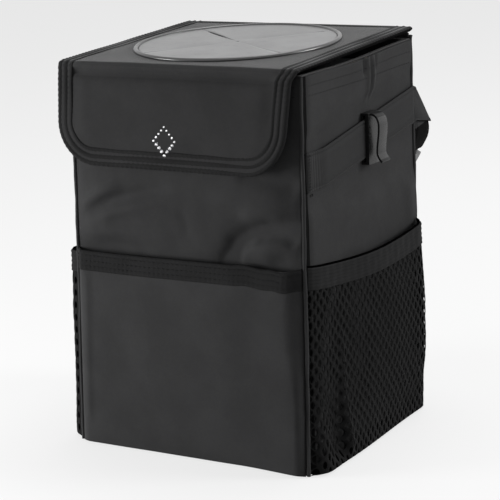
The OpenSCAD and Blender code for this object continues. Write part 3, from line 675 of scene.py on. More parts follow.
def make_body_cloth():
    for name, relief, side, node in (("front_cloth", front_relief, -1, "front_panel"),
                                     ("back_cloth", back_relief, 1, "back_panel")):
        half, step = SIDE_X - 0.6, 2.2
        x, z = grid_of(lines(-half, half, int(2 * half / step) + 1),
                       lines(CLOTH_T, WALL_TOP, int((WALL_TOP - CLOTH_T) / step) + 1))
        grid = stack(x, side * (half_d(z) + relief(x, z)), z)
        piece = on_bin(cloth(name, grid, 0.9, OXFORD, stack(x, z), flip=side > 0), node, slot="oxford_cloth")
    for side, node in ((-1, "left_panel"), (1, "right_panel")):
        s = np.concatenate([lines(-1, -0.88, 15)[:-1], lines(-0.88, 0.88, 112), lines(0.88, 1, 15)[1:]])
        s, z = grid_of(s, lines(CLOTH_T, WALL_TOP, 150))
        y = s * (half_d(z) - 1.2 + 0.7 * ease(s, 0.5, 1))
        grid = stack(side * (SIDE_X + side_relief(y, z)), y, z)
        piece = on_bin(cloth(node.replace("panel", "cloth"), grid, 0.9, OXFORD, stack(y, z),
                             flip=side < 0), node, slot="oxford_cloth")
        # The band beside the front seam takes the darker copy: painted shade
        paint(piece, [OXFORD_PAINTED_SEAM_SHADE], lambda middle, way: middle.y < -(half_d(middle.z) - SEAM_SHADE_BAND))
    x, y = grid_of(lines(-SIDE_X + 0.4, SIDE_X - 0.4, 60), lines(-91.6, 91.6, 56))
    round_in = 1 - edge_fade(x, y, SIDE_X, -92, 92, 3)
    z = 0.9 * round_in ** 2 + 0.15 * (1 + waves(x, y, 31, 40)) * (1 - round_in)
    piece = on_bin(cloth("base_cloth", stack(x, y, z), 0.8, BASE_CLOTH, stack(x, y),
                         flip=True), "base_panel", slot="base_cloth")


def make_boards():
    """The two stiffening boards that meet at the drawn-in corner, bent with it."""
    x, z = grid_of(lines(-96.2, 96.2, 40), lines(CLOTH_T, 286.4, 40))
    grid = stack(x, -(half_d(z) - CLOTH_T), z)
    on_bin(cloth("front_stiffener", grid, BOARD_T, BOARD, stack(x, z)), "front_board",
           slot="stiffening_board")
    s, z = grid_of(lines(-1, 1, 60), lines(CLOTH_T, 286.4, 40))
    y = s * (half_d(z) - 3.5)
    grid = stack(-98.0, y, z)
    on_bin(cloth("left_stiffener", grid, BOARD_T, BOARD, stack(y, z), flip=True), "left_board",
           slot="stiffening_board")


def tube(name, path, radius, material, sides):
    """A round tube along a path, radius having one value for each point."""
    along = unit(np.gradient(path, axis=0))
    across = unit(np.cross(along, (1.0, 0, 0)))
    other = np.cross(along, across)
    angles = lines(0, 2 * math.pi, sides + 1)[:-1]
    turned = across[:, None] * np.cos(angles)[None, :, None] + other[:, None] * np.sin(angles)[None, :, None]
    return loft(name, path[:, None] + radius[:, None, None] * turned, material, run_of(path),
                angles * radius.mean())


def make_welts():
    for side, side_name in ((-1, "left"), (1, "right")):
        for end, end_name in ((-1, "front"), (1, "back")):
            z = lines(CLOTH_T, WALL_TOP - 0.4 + (3.6 if end > 0 else 0), 120)
            wander = 0.16 * np.sin(z / 17.0 + 2 * side) + 0.1 * np.sin(z / 6.1 + end)
            x = side * (SIDE_X + WELT_OUT + wander)
            y = end * (half_d(z) + WELT_OUT + 0.12 * np.cos(z / 12.0)) + np.maximum(0, z - BODY_H) * 0.4
            radius = 1.38 + 0.09 * np.sin(z / 4.3 + side) + 0.05 * np.sin(z / 1.9)
            name = f"{end_name}_{side_name}_welt"
            cord = tube(name + "_cord", stack(x, y, z), radius, PIPING, 14)
            on_bin(cord, name, slot="piping")


def rounded_loop(half_x, half_y, radius, per_corner=6, per_side=30):
    """Points round a rectangle with rounded corners, and its outward directions, anticlockwise from above."""
    points, normals = [], []
    for cx, cy, start in ((1, -1, -90), (1, 1, 0), (-1, 1, 90), (-1, -1, 180)):
        for k in range(per_corner + 1):
            a = math.radians(start + 90 * k / per_corner)
            n = (math.cos(a), math.sin(a))
            points.append((cx * (half_x - radius) + radius * n[0], cy * (half_y - radius) + radius * n[1]))
            normals.append(n)
        last, n = points[-1], normals[-1]
        inner_x, inner_y = half_x - radius, half_y - radius
        ends = {-90: (half_x, inner_y), 0: (-inner_x, half_y), 90: (-half_x, -inner_y),
                180: (inner_x, -half_y)}
        for k in range(1, per_side):
            points.append(tuple(p + (q - p) * k / per_side for p, q in zip(last, ends[start])))
            normals.append(n)
    return np.array(points), np.array(normals)


def ring_loft(name, rows, material, half_x, half_y, radius, wobble, closed=False):
    """A wall round a rounded rectangle from rows of (inset, height); closed joins the last to the first."""
    points, normals = rounded_loop(half_x, half_y, radius)
    n = len(points)
    around = run_of(points)
    verts, uv = [], []
    travelled = 0.0
    for k, (inset, z) in enumerate(rows):
        if k:
            travelled += math.hypot(inset - rows[k - 1][0], z - rows[k - 1][1])
        lean = half_d(z) - half_y
        shift = points - normals * inset
        y = shift[:, 1] + np.sign(points[:, 1]) * lean * np.minimum(np.abs(points[:, 1]) / half_y, 1)
        out = wobble(around, z)
        verts.append(stack(shift[:, 0] - normals[:, 0] * out, y - normals[:, 1] * out, z))
        uv.append(stack(around, travelled))
    m = len(rows)
    faces = loft_faces(m, n, caps=False)
    if closed:
        faces += [((m - 1) * n + i, (m - 1) * n + (i + 1) % n, (i + 1) % n, i) for i in range(n)]
    piece = add_mesh(name, np.concatenate(verts), faces, material, np.concatenate(uv))
    if closed:
        fix_normals(piece)
    return piece


def make_rim():
    rows = [(-0.5, 286.2), (-0.62, 286.8), (-0.2, 287.3), (0.6, 287.5), (2.2, 287.4), (3.6, 287.1),
            (4.3, 286.4), (4.75, 284), (4.8, 279), (4.75, 274.2), (4.5, 273.2), (4.12, 273.1), (4.1, 286.0),
            (3.8, 286.5), (0.3, 286.5), (0.0, 286.1)]

    def wobble(around, z):
        return 0.12 * np.sin(around / 9.0) + 0.08 * np.sin(around / 3.7 + z)

    hem = ring_loft("rim_hem_cloth", rows, OXFORD, SIDE_X, half_d(286), 1.6, wobble, closed=True)
    # Up-facing faces of the hem take the glossier copy of the cloth: painted sheen along the rim's top
    paint(hem, [OXFORD_PAINTED_SHEEN], lambda middle, way: way.z > 0.2)
    on_bin(hem, "rim_hem", slot="oxford_cloth")
    rows = []

    def row(x, y, z, outward):
        rows.append(stitches(stack(x, y, z), outward, 2.6, 1.5, 0.28, 0.05))

    for side in (-1, 1):
        for z in (279.0, 272.2):
            y = lines(-(half_d(z) - 4), half_d(z) - 4, 60)
            row(side * (SIDE_X + side_relief(y, np.full(60, z)) + 0.1), y, z, (side, 0, 0))
    for z in (279.0, 272.2):
        x = lines(-SIDE_X + 4, SIDE_X - 4, 60)
        row(x, -(half_d(z) + front_relief(x, np.full(60, z)) + 0.1), z, (0, -1, 0))
    for side in (-1, 1):
        row(side * (SIDE_X - 4.9), lines(-80, 80, 50), 276.0, (-side, 0, 0))
    on_bin(join_pieces("rim_stitches", rows))


def make_liner():
    heights = np.concatenate([[5.4, 6.4, 9.0], lines(14, 280, 46), [286.0]])

    def wobble(around, z):
        fade = min(1.0, max(0.0, (z - 12) / 30)) * min(1.0, max(0.0, (270 - z) / 30))
        return fade * 0.55 * (1 + waves(around, z, 41, 70) * 0.7 + 0.3 * waves(around, z, 42, 24)).clip(0)

    def inset(z):
        return 4.1 + max(0.0, 1.0 - (z - 5.4) / 4.0) * 2.2

    walls = ring_loft("walls", [(inset(z), z) for z in heights], LINING, SIDE_X, half_d(5.0), 4.0, wobble)
    x, y = grid_of(lines(-92.9, 92.9, 50), lines(-86.2, 86.2, 46))
    z = 5.5 + 0.35 * (1 + waves(x, y, 44, 50)).clip(0) * edge_fade(x, y, 93, -86, 86, 12)
    floor = add_mesh("floor", stack(x, y, z).reshape(-1, 3), grid_quads(50, 46), LINING,
                     stack(x, y).reshape(-1, 2))
    liner = on_bin(join_pieces("liner_sheet", [walls, floor]), "liner", slot="waterproof_lining")


# Front pocket

def pocket_bow(x, z):
    """Full right up to steep edges; the right edge is narrower at the top."""
    start = np.where(x > 0, 93.0 - 7.5 * ease(z, 60, 105), 91.0)
    fall = np.clip((np.abs(x) - start + 3) / (POCKET_HALF + 0.3 - start + 3), 0, 1)
    full = 4.9 + 2.6 * np.sin(math.pi / 2 * np.minimum(1, z / POCKET_H))
    return full * (1 - fall ** 2.6)


def pocket_out(x, z):
    h = pocket_bow(x, z)
    side = ease(SIDE_X - np.abs(x), 3, 14)
    h = h + side * 0.5 * (0.6 + waves(x, z, 51, 85) * 0.6) * ease(z, 2, 16)
    h = h + side * 0.22 * waves(x, z, 52, 34)
    h = h + ridge(x, z, [(-88, 15), (-87, 80), (-86, 140)], 3.4, 0.8, 0.1)
    return h


def make_front_pocket():
    half = POCKET_HALF
    across = np.concatenate([lines(-half, -84, 16)[:-1], lines(-84, 84, 90), lines(84, half, 20)[1:]])
    x, z = grid_of(across, np.concatenate([[0.55, 0.75, 1.1, 1.6, 2.4, 4.0, 6.0, 9.0], lines(12, 150, 62)]))
    curl = np.sqrt(1 - (1 - np.clip((z - 0.5) / 2.2, 0, 1)) ** 2)
    grid = stack(x, -(half_d(z) + 1.0 + pocket_out(x, z) * curl), z)
    pocket = on_bin(cloth("front_pocket_cloth", grid, 0.9, OXFORD_POCKET, stack(x, z)), "front_pocket",
                    slot="oxford_cloth")

    # The binding: rolled over the mouth, with three rows of stitches pressed into it
    xs = np.concatenate([lines(-half, -84, 14)[:-1], lines(-84, 84, 190), lines(84, half, 18)[1:]])
    top = (POCKET_H + 0.3 + 0.2 * np.sin(xs / 21.0) + 0.9 * np.exp(-((xs - 54) / 7.0) ** 2)
           - 0.7 * np.exp(-((xs - 70) / 6.0) ** 2) - 1.6 * np.exp(-((xs - 85) / 6.0) ** 2))
    heights = [(0.0, 0.05), (0.35, 0.7), (1.6, 1.05), (3.2, 0.6), (5.0, 1.1), (7.4, 0.6), (9.4, 1.1),
               (11.4, 0.6), (13.2, 0.95), (14.6, 0.7), (15.0, 0.1)]
    rows = []
    for drop, rise in heights:
        z = top - drop
        pull = (0.3 - 0.8 * (rise == 0.6)) * (0.5 + 0.5 * np.cos(xs * 1.575 + drop / 4))
        soft = (0.16 * np.sin(xs / 5.1) + pull) * (rise > 0.3)
        rows.append(stack(xs, -(half_d(z) + 1.0 + pocket_out(xs, z) + rise + soft), z))
    inner = []
    for drop in (15.0, 8.0, 1.2, -0.35):
        z = top - drop
        inner.append(stack(xs, -(half_d(z) + pocket_out(xs, z) - (0.3 if drop < 14 else -0.9)), z))
    loop = np.stack(rows + inner, 1)
    tape = loft("front_pocket_tape", loop, TWILL, xs, run_of(loop[len(loop) // 2]))
    on_bin(tape, "front_pocket_binding", slot="binding_tape")
    seams = []
    for drop in (3.2, 7.4, 11.4):
        z = top - drop
        path = stack(xs, -(half_d(z) + 1.0 + pocket_out(xs, z) + 0.66), z)
        seams.append(stitches(path, (0, -1, 0), 2.6, 1.4, 0.24, 0.02))
    on_bin(join_pieces("front_pocket_stitches", seams))


# Side pockets

MESH_GAP = WELT_R + 0.6


def mesh_top(s, side):
    low = 4.2 * (1 - ease(s, 0.0, 0.3)) if side < 0 else 0
    return SIDE_POCKET_H - SIDE_SAG * (1 - (2 * s - 1) ** 2) - low


def mesh_bow(y, s, z, side):
    """How far the side pockets stand out: steep at their seams, fullest at the foot of their front half."""
    if side > 0:
        foot = 11.9 - 5.0 * ease(y, -50, 75)
        middle = 4.8 + 7.0 * ease(y, -82, 40)
        top = 3.2 + 6.0 * ease(y, -72, 20)
    else:
        foot = 14.2 - 7.0 * ease(y, -40, 75)
        middle, top = 11.8, 9.4
    full = foot + (middle - foot) * ease(z, 8, 66)
    full = full + (top - full) * ease(z, 95, 150)
    steep = np.where((s < 0.5) & (side > 0), 24 - 12 * ease(z, 10, 50), 22)
    return full * (1 - np.abs(2 * s - 1) ** steep)


def mesh_out(s, z, side, foot=1.0):
    y = (2 * s - 1) * (half_d(z) - MESH_GAP)
    edge = ease(np.minimum(s, 1 - s), 0, 0.05)
    out = mesh_bow(y, s, z, side)
    soft = 0.5 * waves(y, z, 61, 55) + 0.3 * waves(y, z, 62, 26)
    out = out + edge * soft * ease(z, 4, 20) * (1 - ease(z, 112, 130))
    # The front lower corner is pinched into one deep fold with a ridge beside it
    low = (1 - ease(z, 18, 70)) * (1.0 if side > 0 else 0.35)
    fold = ease(y, -86, -58) * (1 - ease(y, -58, -50.5))
    out = out - 7.4 * fold * low * ease(z, 1.8, 14)
    out = out + 1.7 * np.exp(-((y + 50) / 2.6) ** 2) * (1 - ease(z, 70, 112)) * ease(z, 1.8, 14)
    return np.maximum(out * foot, side_relief(y, z) + 0.4) + 0.5


def mesh_place(s, z, side, out):
    return stack(side * (SIDE_X + out), (2 * s - 1) * (half_d(z) - MESH_GAP), z)


def make_net(side, name):
    """The knitted mesh: tall rounded holes in offset columns, spaced along the pocket's own outline."""
    wide, tall = 8.2, 4.85
    corner = [(0.0, 0.86), (0.5, 0.14), (0.5, -0.14), (0.0, -0.86), (-0.5, -0.14), (-0.5, 0.14)]
    border = []
    for k in range(6):
        a, b = np.array(corner[k]), np.array(corner[(k + 1) % 6])
        parts = 1 if abs(a[0] - b[0]) < 0.1 else 3
        border += [a + (b - a) * t / parts for t in range(parts)]
    border = np.array(border) * (wide, tall)
    turn = np.arctan2(border[:, 1] / 2.95, border[:, 0] / 1.28)
    hole = stack(1.28 * np.cos(turn), 2.95 * np.sin(turn))
    middle = border * 0.42 + hole * 0.58
    count = len(border)
    depth_y = lines(-90, 90, 721)
    limit = half_d(75) - MESH_GAP
    bow = mesh_bow(depth_y, np.clip((depth_y / limit + 1) / 2, 0, 1), np.full(721, 75.0), side)
    run = np.concatenate([[0], np.cumsum(np.hypot(np.diff(depth_y), np.diff(bow)))])
    last = np.interp(limit, depth_y, run)
    first = np.interp(-limit, depth_y, run)
    points, index, faces, dark = [], {}, [], []

    def vertex(p, depth):
        key = (round(float(p[0]), 2), round(float(p[1]), 2), depth)
        if key not in index:
            index[key] = len(points)
            points.append((p[0], p[1], depth))
        return index[key]

    for r in range(-1, int(165 / tall) + 2):
        for c in range(int((last - first) / wide) + 2):
            centre = np.array([first + 1.6 + (c + 0.5 * (r % 2)) * wide, r * tall + 2.0])
            s = (np.interp(centre[0], run, depth_y) / limit + 1) / 2
            if not first - 1 < centre[0] < last + 1 or centre[1] > mesh_top(min(max(s, 0), 1), side) - 0.2:
                continue
            closed = centre[1] < 17 or centre[0] > last - 8.5 or (side < 0 and centre[0] < first + 15)
            for depth in (1, -1):
                rings = [[vertex(centre + p, depth * d) for p in ring]
                         for ring, d in ((border, 0.5), (middle, 0.38), (hole, 0.06 if closed else 0.0))]
                for one, two in zip(rings, rings[1:]):
                    for k in range(count):
                        q = (one[k], one[(k + 1) % count], two[(k + 1) % count], two[k])
                        faces.append(q if depth * side < 0 else q[::-1])
                # A closed cell gets a cap painted with shade, in place of the dark seen through an open hole
                if closed:
                    dark.append(len(faces))
                    faces.append(tuple(rings[2]) if depth * side < 0 else tuple(rings[2][::-1]))
    p = np.array(points)
    along = np.clip(p[:, 1], 0, None)
    turn = np.clip(along / 11, 0, 1) * math.pi / 2
    z = np.where(along < 11, 0.45 + 1.75 * (1 - np.cos(turn)), along - 8.8)
    s = np.clip((np.interp(p[:, 0], run, depth_y) / limit + 1) / 2, 0.0, 1.0)
    out = mesh_out(s, z, side, np.sin(turn)) + p[:, 2] * 0.8
    piece = add_mesh(name, mesh_place(s, z, side, out), faces, MESH, p[:, :2])
    piece.data.materials.append(MESH_PAINTED_SHADE)
    for number in dark:
        piece.data.polygons[number].material_index = 1
    work = bmesh.new()
    work.from_mesh(piece.data)
    bmesh.ops.dissolve_degenerate(work, edges=work.edges, dist=1e-7)
    loose = [v for v in work.verts if not v.link_faces]
    bmesh.ops.delete(work, geom=loose, context="VERTS")
    work.to_mesh(piece.data)
    work.free()
    return piece


def make_hem(side, name):
    s = np.concatenate([lines(0.0, 0.06, 12)[:-1], lines(0.06, 0.94, 100), lines(0.94, 1.0, 12)[1:]])
    rows = [(-0.7, 0.0), (-0.95, 0.7), (0.1, 1.3), (1.9, 0.85), (3.9, 1.3), (5.8, 0.85), (7.8, 1.3),
            (9.7, 0.85), (11.7, 1.25), (13.4, 0.85), (14.8, 1.1), (15.4, 0.5), (15.3, -0.3), (8.0, -0.55),
            (0.6, -0.6), (-2.0, -0.65), (-2.3, -0.45), (-2.1, -0.2), (-0.8, -0.1)]
    loop = []
    for drop, rise in rows:
        z = mesh_top(s, side) - drop
        gather = 0.12 * np.sin(s * 120) + 0.12 * np.sin(s * 61 + drop * 0.4)
        out = mesh_out(s, z, side) + (rise + gather * (rise > 0.3)) * (0.4 + 0.6 * ease(
            np.minimum(s, 1 - s), 0, 0.02))
        out = np.maximum(out, 0.35 if rise < 0 else 0.9)
        loop.append(mesh_place(s, z, side, out))
    loop = np.stack(loop, 1)
    n, m = loop.shape[:2]
    piece = loft(name, loop, HEM, s * 190, run_of(loop[n // 2]))
    piece.data.materials.append(MESH_PAINTED_SHADE)
    # The rows that face the wall are in shade
    for number in range((n - 1) * m):
        piece.data.polygons[number].material_index = int(number % m >= 14)
    return piece


def make_side_pockets():
    for side, name in ((-1, "left"), (1, "right")):
        net = on_bin(make_net(side, name + "_mesh"), name + "_mesh_pocket", slot="mesh")
        hem = on_bin(make_hem(side, name + "_hem"), name + "_pocket_hem", slot="elastic_hem")


# Lid and flap

LID_ROWS = 80


def fold_path(radius, end, counts=(LID_ROWS, 12, 34), start=LID_BACK_GAP):
    """Points (y, z), outward directions and lengths along the lid, round the fold and down the flap."""
    lid_dir = np.array([-math.cos(TILT), -math.sin(TILT)])
    lid_up = np.array([-math.sin(TILT), math.cos(TILT)])
    hinge = np.array([HINGE_Y, HINGE_Z])
    turn = math.pi / 2 - TILT
    cut = radius * math.tan(turn / 2)
    flat = LID_L - cut
    points = [hinge + lid_dir * t for t in lines(start, flat, counts[0])]
    normals = [lid_up] * counts[0]
    centre = hinge + lid_dir * flat - lid_up * radius
    for k in range(1, counts[1]):
        a = turn * k / counts[1]
        n = lid_up * math.cos(a) + lid_dir * math.sin(a)
        points.append(centre + n * radius)
        normals.append(n)
    for t in lines(cut, end, counts[2]):
        points.append(np.array([FOLD_Y, FOLD_Z - t]))
        normals.append(np.array([-1.0, 0.0]))
    points, normals = np.array(points), np.array(normals)
    return points, normals, run_of(points)


def fold_radius(x):
    return 3.6 + 0.5 * ease(x, -30, 100)


def flap_half_width(drop, reach):
    """Half the flap's width at a drop below the fold, reach being half the full width."""
    r = FLAP_R - (LID_W / 2 - reach)
    below = np.maximum(0, drop - (FLAP_H - FLAP_R))
    below = np.minimum(below, r)
    return reach - r + np.sqrt(np.maximum(r * r - below * below, 0))


def crossing(piece):
    reshape(piece, hanging)
    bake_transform(piece)


def make_cover():
    """One cloth over the lid, round the fold and down the flap, with the round opening cut out."""
    reach = LID_W / 2 - 0.9
    s = lines(-1, 1, 92)
    paths = [fold_path(fold_radius(t * reach), FLAP_H - 1.4) for t in s]
    points = np.array([q[0] for q in paths])
    normals = np.array([q[1] for q in paths])
    v = np.array([q[2] for q in paths])
    first = LID_ROWS
    drop = np.maximum(0, FOLD_Z - points[..., 1])
    flap_rows = (np.arange(v.shape[1]) >= first + 5)[None]
    half = np.where(flap_rows, flap_half_width(drop, reach), reach)
    x = s[:, None] * half
    out = 0.1 * (1 + waves(x, v, 71, 60))
    flat = ease(half - np.abs(x), 11.5, 24) * ease(FLAP_H - drop, 11.5, 24)
    # The fold bulges over a crease where the lid's board ends, before the flap's board starts
    middle_part = ease(half - np.abs(x), 9, 16)
    bulge = 0.8 * np.exp(-((drop - 1.6) / 1.9) ** 2) * (drop > 0)
    dip = 2.3 * np.exp(-((drop - 7.0) / 2.6) ** 2) * (1 + 0.15 * np.sin(x / 31.0 + 1)) * flap_rows
    swell = ease(drop, 9, 17) * flat
    out = out + swell * (0.9 + 0.35 * waves(x, v, 72, 95)) + (bulge - dip) * middle_part
    lid_part = ease(half - np.abs(x), 11, 26) * ease(v, 4, 20) * (1 - ease(drop, 0, 3))
    out = out + lid_part * 0.3 * (1 + waves(x, v, 73, 70))
    grid = stack(x, points[..., 0] + normals[..., 0] * out, points[..., 1] + normals[..., 1] * out)
    hole = round_hole(x, v, HOLE_R + 2.0)
    cover = cloth("lid_flap_cloth", grid, 0.7, OXFORD, stack(x, v), drop=hole)
    # Up-facing faces take the glossier copy of the cloth: painted sheen on the lid's top
    paint(cover, [OXFORD_PAINTED_SHEEN, OXFORD_FLAP],
          lambda middle, way: 1 if way.z > 0.93 else 2 * (middle.z < FOLD_Z - 9))
    crossing(cover)
    attach(cover, None, "lid_cloth", "flap_cloth", slot="oxford_cloth")


TAPE_PROFILE = [(12.6, 0.1), (12.6, 0.9), (11.7, 1.2), (10.5, 1.1), (9.5, 0.8), (8.8, 0.6), (8.1, 0.8),
                (7.1, 1.15), (6.1, 1.25), (5.1, 1.15), (4.3, 0.8), (3.5, 0.6), (2.8, 0.85), (1.8, 1.1),
                (0.7, 0.95), (-0.3, 0.5), (-1.0, -0.05), (-1.15, -0.6), (-0.75, -1.3), (0.15, -2.1),
                (1.3, -2.9), (3.3, -3.6), (5.6, -3.9), (8.4, -3.85), (10.3, -3.9), (11.8, -3.8), (12.0, -3.4)]


def tape_route():
    """Edge points, inward and outward directions: down one side, along the flap's foot and up the other."""
    sides = []
    for side in (-1, 1):
        points, normals = fold_path(fold_radius(side * 100.0), FLAP_H - FLAP_R, (180, 20, 44))[:2]
        inward = np.array([-side, 0, 0.0])
        route = [(np.array([side * LID_W / 2, *p]), inward, np.array([0, *n]))
                 for p, n in zip(points, normals)]
        centre = np.array([side * (LID_W / 2 - FLAP_R), FOLD_Y, FOLD_Z - FLAP_H + FLAP_R])
        for k in range(1, 42):
            a = math.pi / 2 * k / 42
            d = np.array([side * math.cos(a), 0, -math.sin(a)])
            route.append((centre + d * FLAP_R, -d, np.array([0, -1.0, 0])))
        sides.append(route)
    low = [(np.array([x, FOLD_Y, FOLD_Z - FLAP_H]), np.array([0, 0, 1.0]), np.array([0, -1.0, 0]))
           for x in lines(-LID_W / 2 + FLAP_R, LID_W / 2 - FLAP_R, 136)]
    return sides[0] + low + sides[1][::-1]


def make_tape():
    route = tape_route()
    path = np.array([r[0] for r in route])
    inward = np.array([r[1] for r in route])
    outward = np.array([r[2] for r in route])
    # The tape's width and height wander a little, as a folded tape's do
    where = run_of(path)
    wander = 0.25 * np.sin(where / 13.0) + 0.18 * np.sin(where / 5.3)
    puff = 1 + 0.1 * np.sin(where / 9.7) + 0.12 * np.sin(where / 23.0)
    pull = 0.5 + 0.5 * np.cos(where * 2 * math.pi / 4.05 + 0.5 * np.sin(where / 19.0))
    profile = np.array(TAPE_PROFILE)
    inner = [(11.6, -3.3), (3.6, -3.1), (1.6, -2.2), (0.3, -1.0), (0.6, 0.0), (12.2, -0.1)]
    loop = np.concatenate([profile, inner])
    reach = loop[None, :, 0] + wander[:, None] * (loop[None, :, 0] > 9.6)
    near = np.exp(-((loop[:, 0] - 8.8) / 1.5) ** 2) + np.exp(-((loop[:, 0] - 3.5) / 1.5) ** 2)
    reach = reach - 0.3 * (pull[:, None] - 0.5) * (loop[None, :, 0] < 0.8) * (loop[None, :, 1] > -1)
    rise = loop[None, :, 1] * np.where(loop[None, :, 1] > 0.3, puff[:, None], 1.0)
    rise = rise - np.where(loop[None, :, 1] > 0.3, 0.75 * pull[:, None] * near[None] - 0.3 * pull[:, None], 0)
    points = path[:, None] + inward[:, None] * reach[..., None] + outward[:, None] * rise[..., None]
    tape = loft("lid_flap_tape", points, TWILL, where, run_of(loop))

    # Up-facing faces of the tape take painted sheen; its side faces along the lid, turned away from the
    # light, take painted shade
    def part(middle, way):
        shaded = way.z < 0.62 and abs(way.x) > 0.3 and middle.y > FOLD_Y + 4
        return 1 if way.z > 0.75 else 2 * shaded

    paint(tape, [TWILL_PAINTED_SHEEN, TWILL_PAINTED_SHADE], part)
    crossing(tape)
    attach(tape, None, "left_lid_binding", "right_lid_binding", "flap_binding", slot="binding_tape")
    rows = []
    for inset, rise in ((8.8, 0.6), (3.5, 0.6), (8.8, -3.88), (3.5, -3.66)):
        level = rise - (0.4 * pull[:, None] if rise > 0 else 0)
        line = path + inward * inset + outward * level
        rows.append(stitches(line, outward * (1 if rise > 0 else -1), 2.6, 1.45, 0.24, 0.04))
    seam = join_pieces("lid_flap_stitches", rows)
    crossing(seam)


def round_hole(u, v, radius):
    """The quads of a grid whose middle lies within a radius of the round opening's centre."""
    return np.hypot((u[:-1, :-1] + u[1:, 1:]) / 2, (v[:-1, :-1] + v[1:, 1:]) / 2 - HOLE_AT) < radius


def make_linings():
    length = LID_L - 4.6 - LID_BACK_GAP
    u, v = grid_of(lines(-93, 93, 60), lines(0, length, 50))
    bulge = 0.25 * (1 + waves(u, v, 81, 55)).clip(0)
    grid = on_lid(stack(u, -LID_BACK_GAP - v, -LID_T + 0.15 - bulge))
    piece = cloth("lid_lining_sheet", grid, 0.4, LINING, stack(u, v), drop=round_hole(u, v, LINING_HOLE_R))
    attach(piece, "lid", "lid_lining", slot="waterproof_lining")
    u, v = grid_of(lines(-96.6, 96.6, 80), lines(0.6, LID_L - 6.2, 72))
    grid = on_lid(stack(u, -LID_BACK_GAP - v, -1.15))
    hole = round_hole(u, v, LINING_HOLE_R)
    board = cloth("lid_stiffener", grid, 1.6, BOARD, stack(u, v), flip=True, drop=hole)
    attach(board, "lid", "lid_board", slot="stiffening_board")
    u, v = grid_of(lines(-1, 1, 60), lines(8.5, FLAP_H - 0.8, 36))
    x = u * flap_half_width(v, 99.2)
    bulge = 0.22 * (1 + waves(x, v, 83, 50)).clip(0)
    grid = stack(x, FOLD_Y + FLAP_T - 0.1 + bulge, FOLD_Z - v)
    lining = on_flap(cloth("flap_lining_sheet", grid, 0.4, LINING, stack(x, v), flip=True),
                     "flap_lining", slot="waterproof_lining")
    v = grid_of(lines(-1, 1, 60), lines(13.0, FLAP_H - 1.2, 36))[1]
    x = u * flap_half_width(v, 98.6)
    grid = stack(x, FOLD_Y + 0.8, FOLD_Z - v)
    on_flap(cloth("flap_stiffener", grid, 1.8, BOARD, stack(x, v), flip=True), "flap_board",
            slot="stiffening_board")


def make_ring_parts():
    for node in ("opening_ring", "clamp_ring"):
        set_material(node, RING)
    # The membrane: four leaves between the slits, each hanging a little lower towards its free edges
    turns = [math.radians(t) for t in (48, 143, 232, 326)]
    reach, gape_end = 74.2, 70.0
    arms = [(1.15, 50, 21), (0.9, 42, 19), (0.06, 40, 15), (0.1, 48, 9)]
    droop = [(-0.75, 0.25), (-0.1, -0.5), (-0.05, -0.15), (-0.5, 0.3)]
    parts = []
    for k in range(4):
        a0, a1 = turns[k], turns[(k + 1) % 4]
        if a1 < a0:
            a1 += 2 * math.pi
        r, t = grid_of(np.concatenate([lines(0.8, 68, 40), lines(69, reach, 6)]), lines(0, 1, 36))
        open0, open1 = [0.05 + size * np.exp(-((r - mid) / run) ** 4) * (r < gape_end - 1)
                        for size, mid, run in (arms[k], arms[(k + 1) % 4])]
        a = a0 + open0 / r + t * (a1 - a0 - (open0 + open1) / r)
        low = droop[k]
        near0 = np.exp(-(t * (a1 - a0) * r / 9.0) ** 1.5)
        near1 = np.exp(-((1 - t) * (a1 - a0) * r / 9.0) ** 1.5)
        free = ease(gape_end - r, 0, 22) * ease(r, 4, 22)
        sag = (low[0] * near0 + low[1] * near1) * free
        sag = sag - 0.18 * ease(gape_end - r, 0, 40)
        top = on_lid(stack(r * np.cos(a), LID_MID + r * np.sin(a), 2.4 + sag))
        parts.append(cloth("leaf", top, 1.15, RUBBER, stack(r * np.cos(a), r * np.sin(a))))
    attach(join_pieces("membrane_leaves", parts), "lid", "slit_membrane", slot="membrane_rubber")


def set_material(node, material):
    piece = NODES[node]
    if piece.material_slots:
        for slot in piece.material_slots:
            slot.material = material
    else:
        piece.data.materials.append(material)


def make_hinge_tape():
    half = (LID_W - 2 * (TAPE_W + 1)) / 2
    seam_z = BODY_H - 25
    route = [(half_d(z) + 0.95, z) for z in lines(seam_z, BODY_H, 12)]
    top_y, top_z = HINGE_Y + 0.9, HINGE_Z - 1.0
    route += [(half_d(BODY_H) + 0.95 + (top_y - half_d(BODY_H) - 0.95) * t, BODY_H + (top_z - BODY_H) * t)
              for t in lines(0, 1, 8)[1:]]
    route += [(HINGE_Y + y, HINGE_Z + z)
              for y, z in ((0.75, -0.1), (0.2, 0.75), (-1.2, 1.0), (-4.0, 0.85), (-8.0, 0.6))]
    route = np.array(route)
    x = lines(-half, half, 80)
    where = run_of(route)
    xg, vg = grid_of(x, where)
    xg = xg * (1 + 0.104 * (1 - ease(route[None, :, 1], 296.4, 299.4)))
    ripple = 0.25 * (1 + waves(xg, vg, 91, 34)).clip(0) * ease(vg, 3, 12) * (1 - ease(vg, 30, 38))
    grid = stack(xg, np.broadcast_to(route[None, :, 0], xg.shape) + ripple,
                     np.broadcast_to(route[None, :, 1], xg.shape))
    piece = cloth("hinge_strip", grid, 0.6, OXFORD, stack(xg, vg), flip=True)
    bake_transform(piece)
    attach(piece, None, "hinge_tape", slot="oxford_cloth")
    rows = []
    for z in (seam_z + 2.5, seam_z + 6.5):
        path = stack(x, half_d(z) + 1.25, z)
        rows.append(stitches(path, (0, 1, 0), 2.7, 1.3, 0.3, 0.1))
    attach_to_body(join_pieces("hinge_strip_stitches", rows), "bin")


